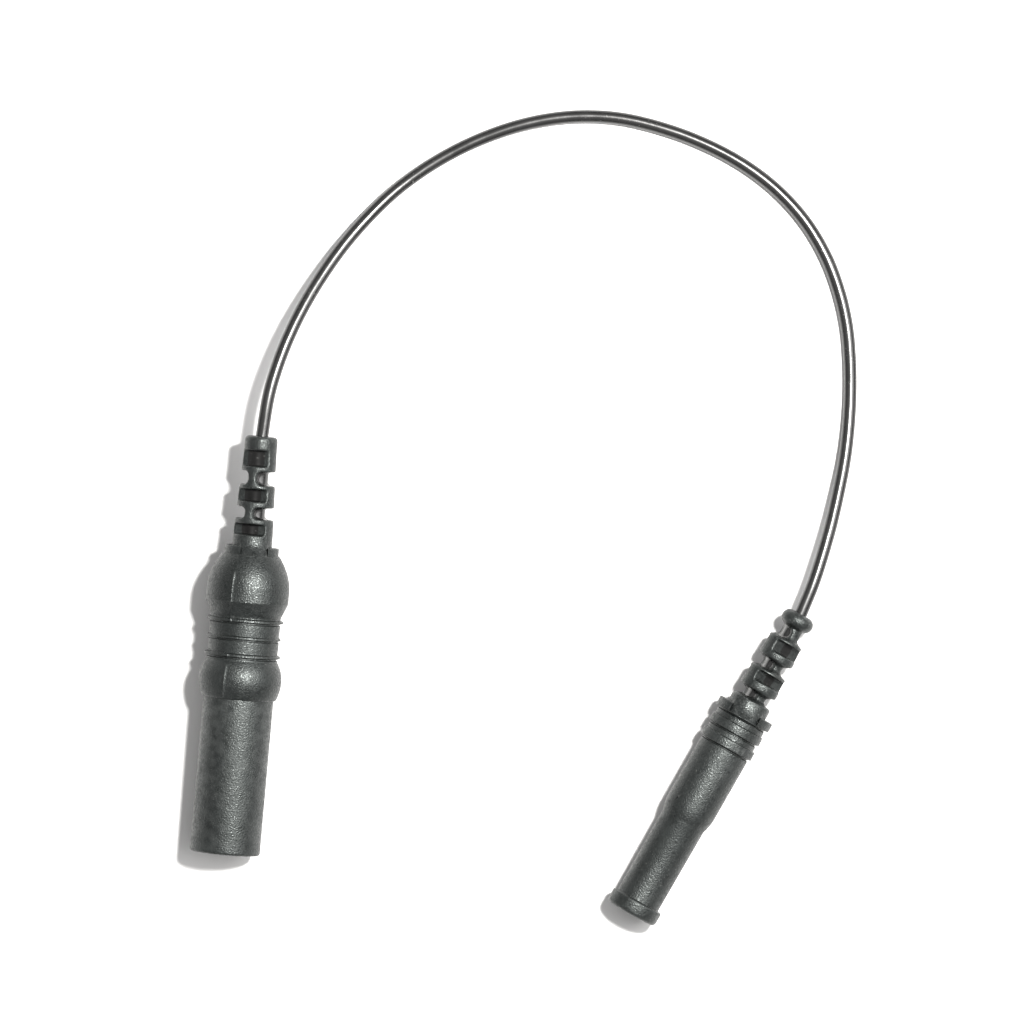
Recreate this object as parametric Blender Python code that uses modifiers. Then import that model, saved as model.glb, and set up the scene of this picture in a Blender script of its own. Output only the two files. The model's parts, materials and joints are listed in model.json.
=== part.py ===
"""Short adapter lead: a shrouded 4 mm plug, an in-line socket and the cord between them.

Sizes are in millimetres and become metres when a mesh is made. Both connectors lie on the
table, z = 0. Each is modelled on its own axis: its front end at 0, its cord end up the axis.
"""
import math

import bmesh
import bpy
from mathutils import Matrix, Vector

MM = 0.001
NAME = "adapter_lead"

# Running and fitting clearances
FIT = 0.05
CORD_GAP = 0.3
END_GAP = 0.1

# Roundness
OUTER_STEPS = 24
INNER_STEPS = 16
EDGE_STEPS = 2
ARC_STEPS = 4
ARC_FROM = 0.9
CROWN_STEPS = 5
BOW_STEPS = 6
TWIST_STEPS = 8
ROUTE_STEPS = 12

# Cutters: how far a slot's box reaches out, and the width of a box that goes right through
SLOT_REACH = 3.0
THROUGH = 12.0

# Rounded edges and ring shape, alike in both connectors
EAR_EDGE = 0.15
EAR_GAP_EDGE = 0.12
CRIMP_EDGE = 0.12
FLANGE_EDGE = 0.08
INNER_FOOT_EDGE = 0.15
RING_FLAT = 0.72

# Cord and conductor
CORD_R = 0.75
CONDUCTOR_R = 0.48
STRAND_LOBES = 6
STRAND_DEPTH = 0.1
STRAND_TURNS = 1.5
CORD_SPACING = 3.2
WIRE_GAP = 0.4

# Plug: where it lies, and how far its moulding is turned about its axis
PLUG_FRONT = Vector((-31.84, -20.35))
PLUG_HEADING = math.radians(5.15)
PLUG_TURN = math.radians(-20.0)
PLUG_EAR_TURN = math.radians(8.0)

# Plug: sheath
BARREL_L = 17.93
BARREL_R = 4.06
BARREL_WALL = 0.78
BARREL_EDGE = 0.3
BARREL_COLLAR = 0.15
BORE_MOUTH_EDGE = 0.2
BORE_END_EDGE = 0.3
SPIGOT_EDGE = 0.2
SPIGOT_R = BARREL_R - 0.61
SPIGOT_L = 6.4
SHEATH_TOP = BARREL_L + SPIGOT_L

# Plug: outer moulding
WAIST_R = BARREL_R + 0.03
WAIST_EDGE = 0.9
FRONT_BULB_R = BARREL_R + 0.72
FRONT_BULB_TOP = BARREL_L + 4.67
FRONT_BULB_PEAK = BARREL_L + 2.22
FRONT_BULB_LIP = 0.24
LIP_BEVEL = 0.08
LIP_BEVEL_L = 0.1
BARREL_SEAT = 0.3
REAR_BULB_R = BARREL_R + 0.705
REAR_BULB_FOOT = BARREL_L + 9.52
REAR_BULB_CREASE = BARREL_L + 11.23
REAR_BULB_TOP = BARREL_L + 12.57
GRIP_RINGS = (
    (BARREL_L + 9.07, WAIST_R + 0.30),
    (BARREL_L + 7.07, WAIST_R + 0.16),
    (BARREL_L + 5.02, WAIST_R + 0.30),
)
GRIP_RING_H = 0.56
PLUG_BODY_TOP = BARREL_L + 17.57
PLUG_EAR_H = 0.95
PLUG_EAR_GAP = 3.2
PLUG_EAR_SEAT = 0.15
PLUG_NECK_R = 2.3
PLUG_EAR_R = PLUG_NECK_R + 0.85
PLUG_TIP_R = 1.9
PLUG_TIP_EDGE = 0.55
TONGUE_RISE = 0.7
TONGUE_ROOT = 0.4

# Plug: contact pin and its sprung cage
PIN_RECESS = 1.4
PIN_HEAD_L = 2.2
PIN_HEAD_EDGE = 0.2
PIN_HEAD_DOME = 1.1
PIN_CORE_R = 1.15
PIN_HEAD_R = PIN_CORE_R + 0.57
PIN_BASE_R = PIN_CORE_R + 0.8
PIN_BASE_L = 0.85
PIN_BASE_EDGE = 0.3
PIN_SHANK_R = PIN_CORE_R + 0.45
PIN_FLANGE_R = PIN_SHANK_R + 0.8
FLANGE_L = 0.75
CRIMP_R = 1.3
CRIMP_L = 4.7
CRIMP_BORE_R = 0.62
CRIMP_DEPTH = 4.0
PLUG_CRIMP_TOP = SHEATH_TOP + FIT + FLANGE_L + CRIMP_L
PLUG_JACKET_FOOT = PLUG_CRIMP_TOP + WIRE_GAP
CAGE_R = PIN_CORE_R + 0.85
CAGE_WALL = 0.16
CAGE_LEAVES = 8
CAGE_SLOT_W = 0.32
CAGE_SLOT_EDGE = 0.12
CAGE_RING_H = 1.0
CAGE_FULLNESS = 0.8

# Plug: inner moulding
PLUG_INNER_R = SPIGOT_R - 0.15
PLUG_INNER_EDGE = 0.25
PLUG_INNER_TOP = BARREL_L + 14.87
PLUG_ANCHOR_R = PLUG_INNER_R - 0.1
PLUG_ANCHOR_L = 0.9

# Socket: where it lies, and how far its relief is turned about its axis
SOCKET_FRONT = Vector((14.90, -27.33))
SOCKET_HEADING = math.radians(29.7)
SOCKET_TURN = math.radians(36.0)
SOCKET_REST = 0.5

# Socket: outer moulding
NOSE_L = 12.3
SOCKET_R = 3.04
NOSE_FRONT_R = SOCKET_R - 0.41
NOSE_REAR_R = SOCKET_R - 0.34
RIM_R = NOSE_FRONT_R + 0.49
RIM_L = 1.79
RIM_TOP_EDGE = 0.4
RIM_MOUTH_EDGE = 0.55
SHOULDER_L = 1.9
RIBS = ((NOSE_L + 12.215, SOCKET_R + 0.25), (NOSE_L + 10.31, SOCKET_R + 0.29))
RIB_H = 1.09
SOCKET_BODY_TOP = NOSE_L + 14.73
SOCKET_EAR_R = SOCKET_R + 0.4
SOCKET_EAR_H = 1.1
SOCKET_EAR_GAP = 3.7
EAR_FOOT_EDGE = 0.1
SOCKET_NECK_R = SOCKET_R - 0.6
NECK_SEAT = 0.2

# Socket: insulator, and the contact and its clip inside it
INSULATOR_R = NOSE_FRONT_R - 0.68
INSULATOR_RECESS = 0.3
INSULATOR_EDGE = 0.1
INSULATOR_TOP = NOSE_L + 1.75
CLIP_ROOM_R = INSULATOR_R - 0.39
CLIP_PLAY = 0.07
CLIP_WALL = 0.14
CLIP_L = 2.0
CLIP_FROM_TIP = 1.2
CLIP_GAP = 0.5
CONTACT_R = CLIP_ROOM_R - CLIP_PLAY - CLIP_WALL - FIT
CONTACT_RECESS = 1.6
CONTACT_EDGE = 0.1
CONTACT_MOUTH_EDGE = 0.15
CONTACT_SLOTS = 4
CONTACT_SLOT_W = 0.3
CONTACT_SLOT_TOP = INSULATOR_TOP - 5.25
CONTACT_SLOT_FOOT = 0.6
CONTACT_BORE_R = CONTACT_R - 0.3
CONTACT_BORE_TOP = INSULATOR_TOP - 3.05
CONTACT_BORE_CONE = 0.4
CONTACT_FLANGE_R = INSULATOR_R - 0.05
INSULATOR_LIP_R = CONTACT_BORE_R + 0.1
INSULATOR_LIP_L = 1.0
INSULATOR_LIP_EDGE = 0.25
SOCKET_CRIMP_R = 1.2
SOCKET_CRIMP_TOP = INSULATOR_TOP + FIT + FLANGE_L + CRIMP_L
SOCKET_JACKET_FOOT = SOCKET_CRIMP_TOP + WIRE_GAP

# Socket: inner moulding
SOCKET_INNER_R = SOCKET_R - 0.54
SOCKET_INNER_EDGE = 0.2
SOCKET_INNER_TOP = NOSE_L + 12.0
SOCKET_STEM_R = SOCKET_INNER_R - 0.6
SOCKET_ANCHOR_L = 0.7

# Bend reliefs: each slot is (foot, top), measured from the moulding's end
PLUG_POCKETS = ((1.35, 2.58), (5.20, 6.60), (9.27, 11.05))
PLUG_NOTCHES = ((3.18, 4.50), (7.10, 8.66))
PLUG_CAP_L = 1.69
PLUG_RELIEF_TOP = PLUG_BODY_TOP + PLUG_POCKETS[-1][1] + PLUG_CAP_L
PLUG_SLAB_HALF = 0.8
PLUG_POCKET_WALL = 0.38
PLUG_WEB_HALF = 0.45
PLUG_SLEEVE_WALL = 0.42
SOCKET_POCKETS = ((3.57, 4.82), (7.47, 8.89))
SOCKET_NOTCHES = ((1.35, 2.47), (5.17, 6.53), (9.25, 10.83))
SOCKET_KNOB_L = 1.87
SOCKET_RELIEF_TOP = SOCKET_BODY_TOP + SOCKET_NOTCHES[-1][1] + SOCKET_KNOB_L
SOCKET_SLAB_HALF = 0.55
SOCKET_POCKET_WALL = 0.12
SOCKET_WEB_HALF = 0.58
SOCKET_SLEEVE_WALL = 0.08
SOCKET_WAISTS = (1.55, 1.42, 1.32)
RING_R_LOW = 2.31
RING_R_HIGH = 2.11
RING_FOOT_EDGE = 0.3
RING_TOP_EDGE = 0.25
RING_TAPER = 0.03
RING_FOOT_DROP = 0.05
WAIST_BEVEL = 0.3
LOW_WAIST_RISE = 0.25
HIGH_WAIST_RISE = 0.25
HIGH_WAIST_DROP = 0.2
LOW_WAIST_EDGE = 0.15
MIDDLE_WAIST_EDGE = 0.2
HIGH_WAIST_EDGE = 0.3
NECK_TOP_DROP = 0.1
NECK_TOP_EDGE = 0.3
KNOB_R = 1.97
KNOB_MOUTH_R = 1.2
KNOB_MOUTH_EDGE = 0.3
KNOB_SLOPE = 0.35
KNOB_TOP_EDGE = 0.8
KNOB_FOOT_RISE = 0.1
KNOB_FOOT_EDGE = 0.6
POCKET_EDGE = 0.28
NOTCH_CROWN = 0.1

# Cord: its route over the table, as (x, y), and the height of its underside there
ROUTE = (
    (-26.8, 31.9, 5.10),
    (-25.9, 35.2, 4.90),
    (-24.6, 38.7, 4.40),
    (-22.9, 42.3, 3.60),
    (-20.8, 45.9, 2.60),
    (-18.3, 49.5, 1.60),
    (-15.4, 52.9, 0.80),
    (-12.2, 56.0, 0.27),
    (-8.7, 58.6, 0.05),
    (-5.0, 60.75, 0.01),
    (-1.3, 62.4, 0.01),
    (2.4, 63.6, 0.01),
    (6.2, 64.35, 0.01),
    (10.0, 64.6, 0.01),
    (14.0, 64.3, 0.01),
    (18.3, 63.3, 0.01),
    (22.9, 61.65, 0.01),
    (27.4, 59.35, 0.01),
    (31.5, 56.35, 0.01),
    (34.9, 52.7, 0.01),
    (37.4, 48.6, 0.01),
    (39.0, 44.4, 0.01),
    (39.9, 40.4, 0.01),
    (40.25, 36.5, 0.01),
    (40.3, 32.7, 0.05),
    (40.1, 28.9, 0.23),
    (39.65, 25.05, 0.65),
    (38.9, 21.2, 1.27),
    (38.0, 17.35, 1.91),
    (36.95, 13.7, 2.43),
    (35.85, 10.4, 2.73),
)


# Scene and materials


def clear_scene():
    """Remove every object that the file starts with."""
    for item in list(bpy.data.objects):
        bpy.data.objects.remove(item, do_unlink=True)


def collection(name):
    """A new collection in the scene."""
    group = bpy.data.collections.new(name)
    bpy.context.scene.collection.children.link(group)
    return group


def material(name, colour, roughness, metallic=0.0):
    """A Principled material with one colour."""
    surface = bpy.data.materials.new(name)
    surface.use_nodes = True
    shader = surface.node_tree.nodes["Principled BSDF"]
    shader.inputs["Base Color"].default_value = (*colour, 1.0)
    shader.inputs["Roughness"].default_value = roughness
    shader.inputs["Metallic"].default_value = metallic
    return surface


class Workshop:
    """The collections, and how a finished mesh becomes an object in one of them."""

    def __init__(self):
        self.parts = collection(NAME)
        self.cutters = collection(NAME + "_cutters")

    def empty(self, name, matrix):
        """A frame that a connector's pieces are parented to."""
        frame = bpy.data.objects.new(name, None)
        frame.empty_display_size = 0.01
        frame.matrix_world = matrix
        self.parts.objects.link(frame)
        return frame

    def place(self, name, data, parent, surface=None, turn=0.0):
        """Link an object: a part when it has a surface, and a hidden cutter when it has none."""
        item = bpy.data.objects.new(name, data)
        item.parent = parent
        item.rotation_euler = (0.0, 0.0, turn)
        if surface is None:
            item.hide_render = True
            item.display_type = "WIRE"
            self.cutters.objects.link(item)
        else:
            data.materials.append(surface)
            self.parts.objects.link(item)
        return item


# Shapes


def rounded_outline(corners):
    """Points of a closed outline whose corners (r, z) or (r, z, fillet) are rounded."""
    points = []
    count = len(corners)
    for index, corner in enumerate(corners):
        here = Vector(corner[:2])
        fillet = corner[2] if len(corner) > 2 else 0.0
        before = Vector(corners[index - 1][:2]) - here
        after = Vector(corners[(index + 1) % count][:2]) - here
        if fillet <= 0.0:
            points.append(here)
            continue
        half = before.angle(after) / 2
        setback = fillet / math.tan(half)
        setback = min(setback, before.length * 0.49, after.length * 0.49)
        steps = ARC_STEPS if fillet >= ARC_FROM else EDGE_STEPS
        start = here + before.normalized() * setback
        end = here + after.normalized() * setback
        for step in range(steps + 1):
            share = step / steps
            first = start.lerp(here, share)
            second = here.lerp(end, share)
            points.append(first.lerp(second, share))
    return points


def outline_mesh(name, points):
    """A closed loop of edges in the XZ plane."""
    data = bpy.data.meshes.new(name)
    verts = [(point[0] * MM, 0.0, point[1] * MM) for point in points]
    edges = [(index, (index + 1) % len(verts)) for index in range(len(verts))]
    data.from_pydata(verts, edges, [])
    return data


def turned(shop, name, parent, corners, surface, steps=OUTER_STEPS):
    """Spin an outline about the axis; it runs down its outer side and up its inner one."""
    data = outline_mesh(name, rounded_outline(corners))
    item = shop.place(name, data, parent, surface)
    spin = item.modifiers.new("Spin", "SCREW")
    spin.axis = "Z"
    spin.angle = 2 * math.pi
    spin.steps = steps
    spin.render_steps = steps
    spin.use_merge_vertices = True
    spin.merge_threshold = 0.000001
    spin.use_smooth_shade = True
    return item


def rounded_box(mesh, centre, size, fillet, axis):
    """Add a box, in millimetres, whose edges along an axis are rounded."""
    matrix = Matrix.Translation(Vector(centre) * MM) @ Matrix.Diagonal((*[s * MM for s in size], 1.0))
    made = bmesh.ops.create_cube(mesh, size=1.0, matrix=matrix)
    if fillet <= 0.0:
        return
    edges = {edge for vert in made["verts"] for edge in vert.link_edges}
    along = []
    for edge in edges:
        line = edge.verts[1].co - edge.verts[0].co
        if abs(line[axis]) > 0.9 * line.length:
            along.append(edge)
    bmesh.ops.bevel(
        mesh, geom=along, offset=fillet * MM, offset_type="OFFSET", segments=EDGE_STEPS,
        profile=0.5, affect="EDGES",
    )


def boxes(name, specs, axis=1):
    """One mesh of separate rounded boxes, each (centre, size, fillet)."""
    mesh = bmesh.new()
    for centre, size, fillet in specs:
        rounded_box(mesh, centre, size, fillet, axis)
    data = bpy.data.meshes.new(name)
    mesh.to_mesh(data)
    mesh.free()
    return data


def cut(item, cutter, operation="DIFFERENCE"):
    """Take one solid out of another."""
    modifier = item.modifiers.new("Cut_" + cutter.name, "BOOLEAN")
    modifier.operation = operation
    modifier.solver = "EXACT"
    modifier.object = cutter


def ring_bumps(rings, base_r, height):
    """Outline corners of raised rings, each (middle, radius), down an outer side."""
    corners = []
    for middle, radius in rings:
        corners.append((base_r, middle + height / 2))
        corners.append((radius, middle + height * RING_FLAT / 2))
        corners.append((radius, middle - height * RING_FLAT / 2))
        corners.append((base_r, middle - height / 2))
    return corners


def crown(start, end):
    """Points of a quarter bulge between (r, z) and (r, z), level where r is larger."""
    points = []
    for step in range(CROWN_STEPS + 1):
        share = step / CROWN_STEPS
        if end[0] > start[0]:
            drop = (end[0] - start[0]) * (1.0 - share) ** 2
            points.append((end[0] - drop, start[1] + (end[1] - start[1]) * share))
        else:
            drop = (start[0] - end[0]) * share ** 2
            points.append((start[0] - drop, start[1] + (end[1] - start[1]) * share))
    return points


# Placing the connectors


def axis_frame(front, heading, tilt, height):
    """The matrix of a connector: Z up its axis, X level to its right, Y towards the table."""
    along = Vector((math.sin(heading), math.cos(heading), 0.0)) * math.cos(tilt)
    along.z = math.sin(tilt)
    level = Vector((math.cos(heading), -math.sin(heading), 0.0))
    down = along.cross(level)
    matrix = Matrix.Identity(4)
    for row in range(3):
        matrix[row][0] = level[row]
        matrix[row][1] = down[row]
        matrix[row][2] = along[row]
    matrix.translation = Vector((front.x, front.y, height)) * MM
    return matrix


def resting(low, high):
    """Tilt, and axis height at 0, of a connector that rests on two rings (place, radius)."""
    tilt = math.atan2(high[1] - low[1], high[0] - low[0])
    height = low[1] * math.cos(tilt) - low[0] * math.sin(tilt)
    return tilt, height


# Bend relief and cord, alike in both connectors


def above(end, slots):
    """Places along the axis of slots that are measured from a moulding's end."""
    return [(end + foot, end + top) for foot, top in slots]


def ear_gap(shop, name, parent, body, top, height, width, turn=0.0):
    """Part the ring at a moulding's end into two ears."""
    spec = ((0.0, 0.0, top), (width, THROUGH, 2 * height), EAR_GAP_EDGE)
    cut(body, shop.place(name, boxes(name, [spec]), parent, turn=turn))


def neck_tongues(shop, name, parent, relief, high, low, width, turn=0.0):
    """Two tapered tongues on the neck, from (r, z) high on it down to (r, z) low, in the ear gaps."""
    root = high[0] - TONGUE_ROOT
    corners = ((root, high[1]), high, low, (root, low[1]))
    taper = turned(shop, name, parent, corners, None)
    size = (width - 2 * FIT, THROUGH, 2 * (high[1] - low[1]))
    data = boxes(name + "_width", [((0.0, 0.0, 0.5 * (high[1] + low[1])), size, 0.0)])
    cut(taper, shop.place(name + "_width", data, parent, turn=turn), "INTERSECT")
    cut(relief, taper, "UNION")


def relief_slots(shop, name, parent, relief, specs, sleeve_wall, top, turn):
    """Cut a relief's slots down to the sleeve that stays round the cord."""
    slots = shop.place(name, boxes(name, specs), parent, turn=turn)
    sleeve_r = CORD_R + FIT + sleeve_wall
    corners = ((0.0, top), (sleeve_r, top), (sleeve_r, 0.0), (0.0, 0.0))
    cut(slots, turned(shop, name + "_sleeve", parent, corners, None, INNER_STEPS))
    cut(relief, slots)


def slot_boxes(pockets, notches, radius_at, slab_half, pocket_wall, web_half):
    """Boxes for the pockets at front and back and for the notches at both sides."""
    specs = []
    for foot, top in pockets:
        width = 2 * (radius_at(0.5 * (foot + top)) - pocket_wall)
        for side in (-1, 1):
            centre = (0.0, side * (slab_half + SLOT_REACH / 2), 0.5 * (foot + top))
            specs.append((centre, (width, SLOT_REACH, top - foot), POCKET_EDGE))
    for foot, top in notches:
        for side in (-1, 1):
            centre = (side * (web_half + SLOT_REACH / 2), 0.0, 0.5 * (foot + top))
            fillet = 0.5 * (top - foot) - NOTCH_CROWN
            specs.append((centre, (SLOT_REACH, 2 * SLOT_REACH, top - foot), fillet))
    return specs


def conductor(shop, name, parent, foot, top, surface):
    """Twisted copper strands: a lobed outline, drawn up the axis and twisted."""
    mesh = bmesh.new()
    ring = []
    count = STRAND_LOBES * 4
    for index in range(count):
        angle = 2 * math.pi * index / count
        radius = CONDUCTOR_R * (1.0 - STRAND_DEPTH * (1.0 - math.cos(STRAND_LOBES * angle)))
        point = (radius * math.cos(angle) * MM, radius * math.sin(angle) * MM, foot * MM)
        ring.append(mesh.verts.new(point))
    face = mesh.faces.new(ring)
    face.normal_flip()
    rise = (top - foot) / TWIST_STEPS
    turn = 2 * math.pi * STRAND_TURNS / TWIST_STEPS
    current = [face]
    for _ in range(TWIST_STEPS):
        made = bmesh.ops.extrude_face_region(mesh, geom=current)
        verts = [part for part in made["geom"] if isinstance(part, bmesh.types.BMVert)]
        bmesh.ops.translate(mesh, verts=verts, vec=(0.0, 0.0, rise * MM))
        bmesh.ops.rotate(mesh, verts=verts, cent=(0, 0, 0), matrix=Matrix.Rotation(turn, 3, "Z"))
        previous = current
        current = [part for part in made["geom"] if isinstance(part, bmesh.types.BMFace)]
        if previous[0] is not face:
            bmesh.ops.delete(mesh, geom=previous, context="FACES_ONLY")
    bmesh.ops.recalc_face_normals(mesh, faces=mesh.faces)
    data = bpy.data.meshes.new(name)
    mesh.to_mesh(data)
    mesh.free()
    return shop.place(name, data, parent, surface)


def cord_end(shop, name, parent, foot, top, surface):
    """The jacket inside a connector, up to the face of its relief."""
    corners = ((0.0, top), (CORD_R, top), (CORD_R, foot), (0.0, foot))
    return turned(shop, name, parent, corners, surface, INNER_STEPS)


# Plug


def plug_sheath(shop, parent, surface):
    """The rigid barrel round the pin, with the spigot that the outer moulding grips."""
    bore_r = BARREL_R - BARREL_WALL
    shank = PIN_SHANK_R + FIT
    corners = (
        (SPIGOT_R, SHEATH_TOP, SPIGOT_EDGE),
        (SPIGOT_R, BARREL_L + BARREL_COLLAR),
        (BARREL_R, BARREL_L + BARREL_COLLAR),
        (BARREL_R, 0.0, BARREL_EDGE),
        (bore_r, 0.0, BORE_MOUTH_EDGE),
        (bore_r, BARREL_L, BORE_END_EDGE),
        (shank, BARREL_L),
        (shank, SHEATH_TOP),
    )
    return turned(shop, "plug_sheath", parent, corners, surface)


def plug_body(shop, parent, surface):
    """The outer moulding: two bulbs, a ringed waist and two ears at the cord end."""
    shoulder = PLUG_BODY_TOP - PLUG_EAR_H
    neck = PLUG_NECK_R + FIT
    barrel = BARREL_R + FIT
    spigot = SPIGOT_R + FIT
    cavity = PLUG_INNER_R + FIT
    anchor_top = PLUG_INNER_TOP + FIT + PLUG_ANCHOR_L + FIT
    corners = [
        (neck, PLUG_BODY_TOP),
        (PLUG_EAR_R, PLUG_BODY_TOP, EAR_EDGE),
        (PLUG_EAR_R, shoulder),
        *crown((PLUG_EAR_R + PLUG_EAR_SEAT, shoulder), (REAR_BULB_R, REAR_BULB_TOP)),
        (REAR_BULB_R, REAR_BULB_CREASE),
        (WAIST_R, REAR_BULB_FOOT, WAIST_EDGE),
    ]
    corners += ring_bumps(GRIP_RINGS, WAIST_R, GRIP_RING_H)
    lip = BARREL_R + FRONT_BULB_LIP
    corners += [
        *crown((WAIST_R, FRONT_BULB_TOP), (FRONT_BULB_R, FRONT_BULB_PEAK)),
        *crown((FRONT_BULB_R, FRONT_BULB_PEAK), (lip, BARREL_L + LIP_BEVEL_L))[1:],
        (lip - LIP_BEVEL, BARREL_L),
        (barrel, BARREL_L),
        (barrel, BARREL_L + BARREL_SEAT),
        (spigot, BARREL_L + BARREL_SEAT),
        (spigot, SHEATH_TOP + FIT),
        (cavity, SHEATH_TOP + FIT),
        (cavity, anchor_top),
        (neck, anchor_top),
    ]
    body = turned(shop, "plug_body", parent, corners, surface)
    height = PLUG_EAR_H - END_GAP
    ear_gap(shop, "plug_ear_gap", parent, body, PLUG_BODY_TOP, height, PLUG_EAR_GAP, PLUG_EAR_TURN)
    return body


def plug_relief(shop, parent, surface):
    """The slotted bend relief, its neck and the flange that anchors it in the moulding."""
    anchor_foot = PLUG_INNER_TOP + FIT
    anchor_top = anchor_foot + PLUG_ANCHOR_L
    pockets = above(PLUG_BODY_TOP, PLUG_POCKETS)
    notches = above(PLUG_BODY_TOP, PLUG_NOTCHES)
    slope_foot = pockets[0][0]
    slope_top = pockets[-1][1]
    bore = CORD_R + FIT
    corners = (
        (PLUG_TIP_R, PLUG_RELIEF_TOP, PLUG_TIP_EDGE),
        (PLUG_TIP_R, slope_top),
        (PLUG_NECK_R, slope_foot),
        (PLUG_NECK_R, anchor_top),
        (PLUG_ANCHOR_R, anchor_top),
        (PLUG_ANCHOR_R, anchor_foot),
        (bore, anchor_foot),
        (bore, PLUG_RELIEF_TOP),
    )
    relief = turned(shop, "plug_strain_relief", parent, corners, surface)
    tongue_foot = PLUG_BODY_TOP - PLUG_EAR_H + END_GAP + FIT
    high = (PLUG_NECK_R, PLUG_BODY_TOP + TONGUE_RISE)
    low = (PLUG_EAR_R - FIT, tongue_foot)
    neck_tongues(
        shop, "plug_neck_tongues", parent, relief, high, low, PLUG_EAR_GAP, PLUG_EAR_TURN
    )

    def radius_at(place):
        share = (place - slope_foot) / (slope_top - slope_foot)
        return PLUG_NECK_R + (PLUG_TIP_R - PLUG_NECK_R) * share

    specs = slot_boxes(
        pockets, notches, radius_at, PLUG_SLAB_HALF, PLUG_POCKET_WALL, PLUG_WEB_HALF
    )
    relief_slots(
        shop, "plug_relief_slots", parent, relief, specs, PLUG_SLEEVE_WALL, PLUG_RELIEF_TOP, PLUG_TURN
    )
    return relief


def plug_pin(shop, parent, surface):
    """The turned contact: head, core, base, shank, flange and crimp barrel."""
    head_top = PIN_RECESS + PIN_HEAD_L
    base_foot = BARREL_L - FIT - PIN_BASE_L
    flange_foot = SHEATH_TOP + FIT
    flange_top = flange_foot + FLANGE_L
    corners = (
        (CRIMP_R, PLUG_CRIMP_TOP, CRIMP_EDGE),
        (CRIMP_R, flange_top),
        (PIN_FLANGE_R, flange_top, FLANGE_EDGE),
        (PIN_FLANGE_R, flange_foot),
        (PIN_SHANK_R, flange_foot),
        (PIN_SHANK_R, BARREL_L - FIT),
        (PIN_BASE_R, BARREL_L - FIT),
        (PIN_BASE_R, base_foot, PIN_BASE_EDGE),
        (PIN_CORE_R, base_foot),
        (PIN_CORE_R, head_top),
        (PIN_HEAD_R, head_top, PIN_HEAD_EDGE),
        (PIN_HEAD_R, PIN_RECESS, PIN_HEAD_DOME),
        (0.0, PIN_RECESS),
        (0.0, PLUG_CRIMP_TOP - CRIMP_DEPTH),
        (CRIMP_BORE_R, PLUG_CRIMP_TOP - CRIMP_DEPTH),
        (CRIMP_BORE_R, PLUG_CRIMP_TOP),
    )
    return turned(shop, "plug_pin", parent, corners, surface, INNER_STEPS)


def plug_cage(shop, parent, surface):
    """The bowed cage round the pin's core; it is free to turn there."""
    foot = PIN_RECESS + PIN_HEAD_L + END_GAP
    top = BARREL_L - FIT - PIN_BASE_L - END_GAP
    inner = PIN_CORE_R + FIT
    ring = inner + CAGE_WALL
    leaf_foot = foot + CAGE_RING_H
    leaf_top = top - CAGE_RING_H
    outer = [(ring, top)]
    hollow = [(inner, foot)]
    for step in range(BOW_STEPS + 1):
        share = step / BOW_STEPS
        rise = (CAGE_R - ring) * math.sin(math.pi * share) ** CAGE_FULLNESS
        outer.append((ring + rise, leaf_top + (leaf_foot - leaf_top) * share))
        hollow.append((inner + rise, leaf_foot + (leaf_top - leaf_foot) * share))
    outer.append((ring, foot))
    hollow.append((inner, top))
    cage = turned(shop, "plug_lantern_spring", parent, outer + hollow, surface, CAGE_LEAVES * 3)
    size = (CAGE_SLOT_W, THROUGH, leaf_top - leaf_foot)
    spec = ((0.0, 0.0, 0.5 * (foot + top)), size, CAGE_SLOT_EDGE)
    for index in range(CAGE_LEAVES // 2):
        name = "plug_cage_slot_%d" % (index + 1)
        turn = 2 * math.pi * (index + 0.5) / CAGE_LEAVES
        cut(cage, shop.place(name, boxes(name, [spec]), parent, turn=turn))
    return cage


def plug_inner(shop, parent, surface):
    """The rigid moulding that locks the crimp barrel and the jacket in line."""
    foot = SHEATH_TOP + FIT
    flange_top = foot + FLANGE_L + FIT
    corners = (
        (PLUG_INNER_R, PLUG_INNER_TOP, PLUG_INNER_EDGE),
        (PLUG_INNER_R, foot + FIT, INNER_FOOT_EDGE),
        (PIN_FLANGE_R + FIT, foot + FIT),
        (PIN_FLANGE_R + FIT, flange_top),
        (CRIMP_R + FIT, flange_top),
        (CRIMP_R + FIT, PLUG_CRIMP_TOP + FIT),
        (CORD_R + FIT, PLUG_JACKET_FOOT + FIT),
        (CORD_R + FIT, PLUG_INNER_TOP),
    )
    return turned(shop, "plug_inner_mould", parent, corners, surface, INNER_STEPS)


def build_plug(shop, looks):
    """The shrouded plug and everything inside it, down to the end of its cord."""
    tilt, height = resting((BARREL_EDGE, BARREL_R), (FRONT_BULB_PEAK, FRONT_BULB_R))
    frame = shop.empty("plug_frame", axis_frame(PLUG_FRONT, PLUG_HEADING, tilt, height))
    plug_sheath(shop, frame, looks["shell"])
    plug_body(shop, frame, looks["rubber"])
    plug_relief(shop, frame, looks["rubber"])
    plug_pin(shop, frame, looks["nickel"])
    plug_cage(shop, frame, looks["spring"])
    plug_inner(shop, frame, looks["inner"])
    cord_end(shop, "plug_cord_end", frame, PLUG_JACKET_FOOT, PLUG_RELIEF_TOP, looks["jacket"])
    wire_foot = PLUG_CRIMP_TOP - CRIMP_DEPTH + FIT
    wire_top = PLUG_JACKET_FOOT - FIT
    conductor(shop, "plug_conductor", frame, wire_foot, wire_top, looks["copper"])
    return frame


# Socket


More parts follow.
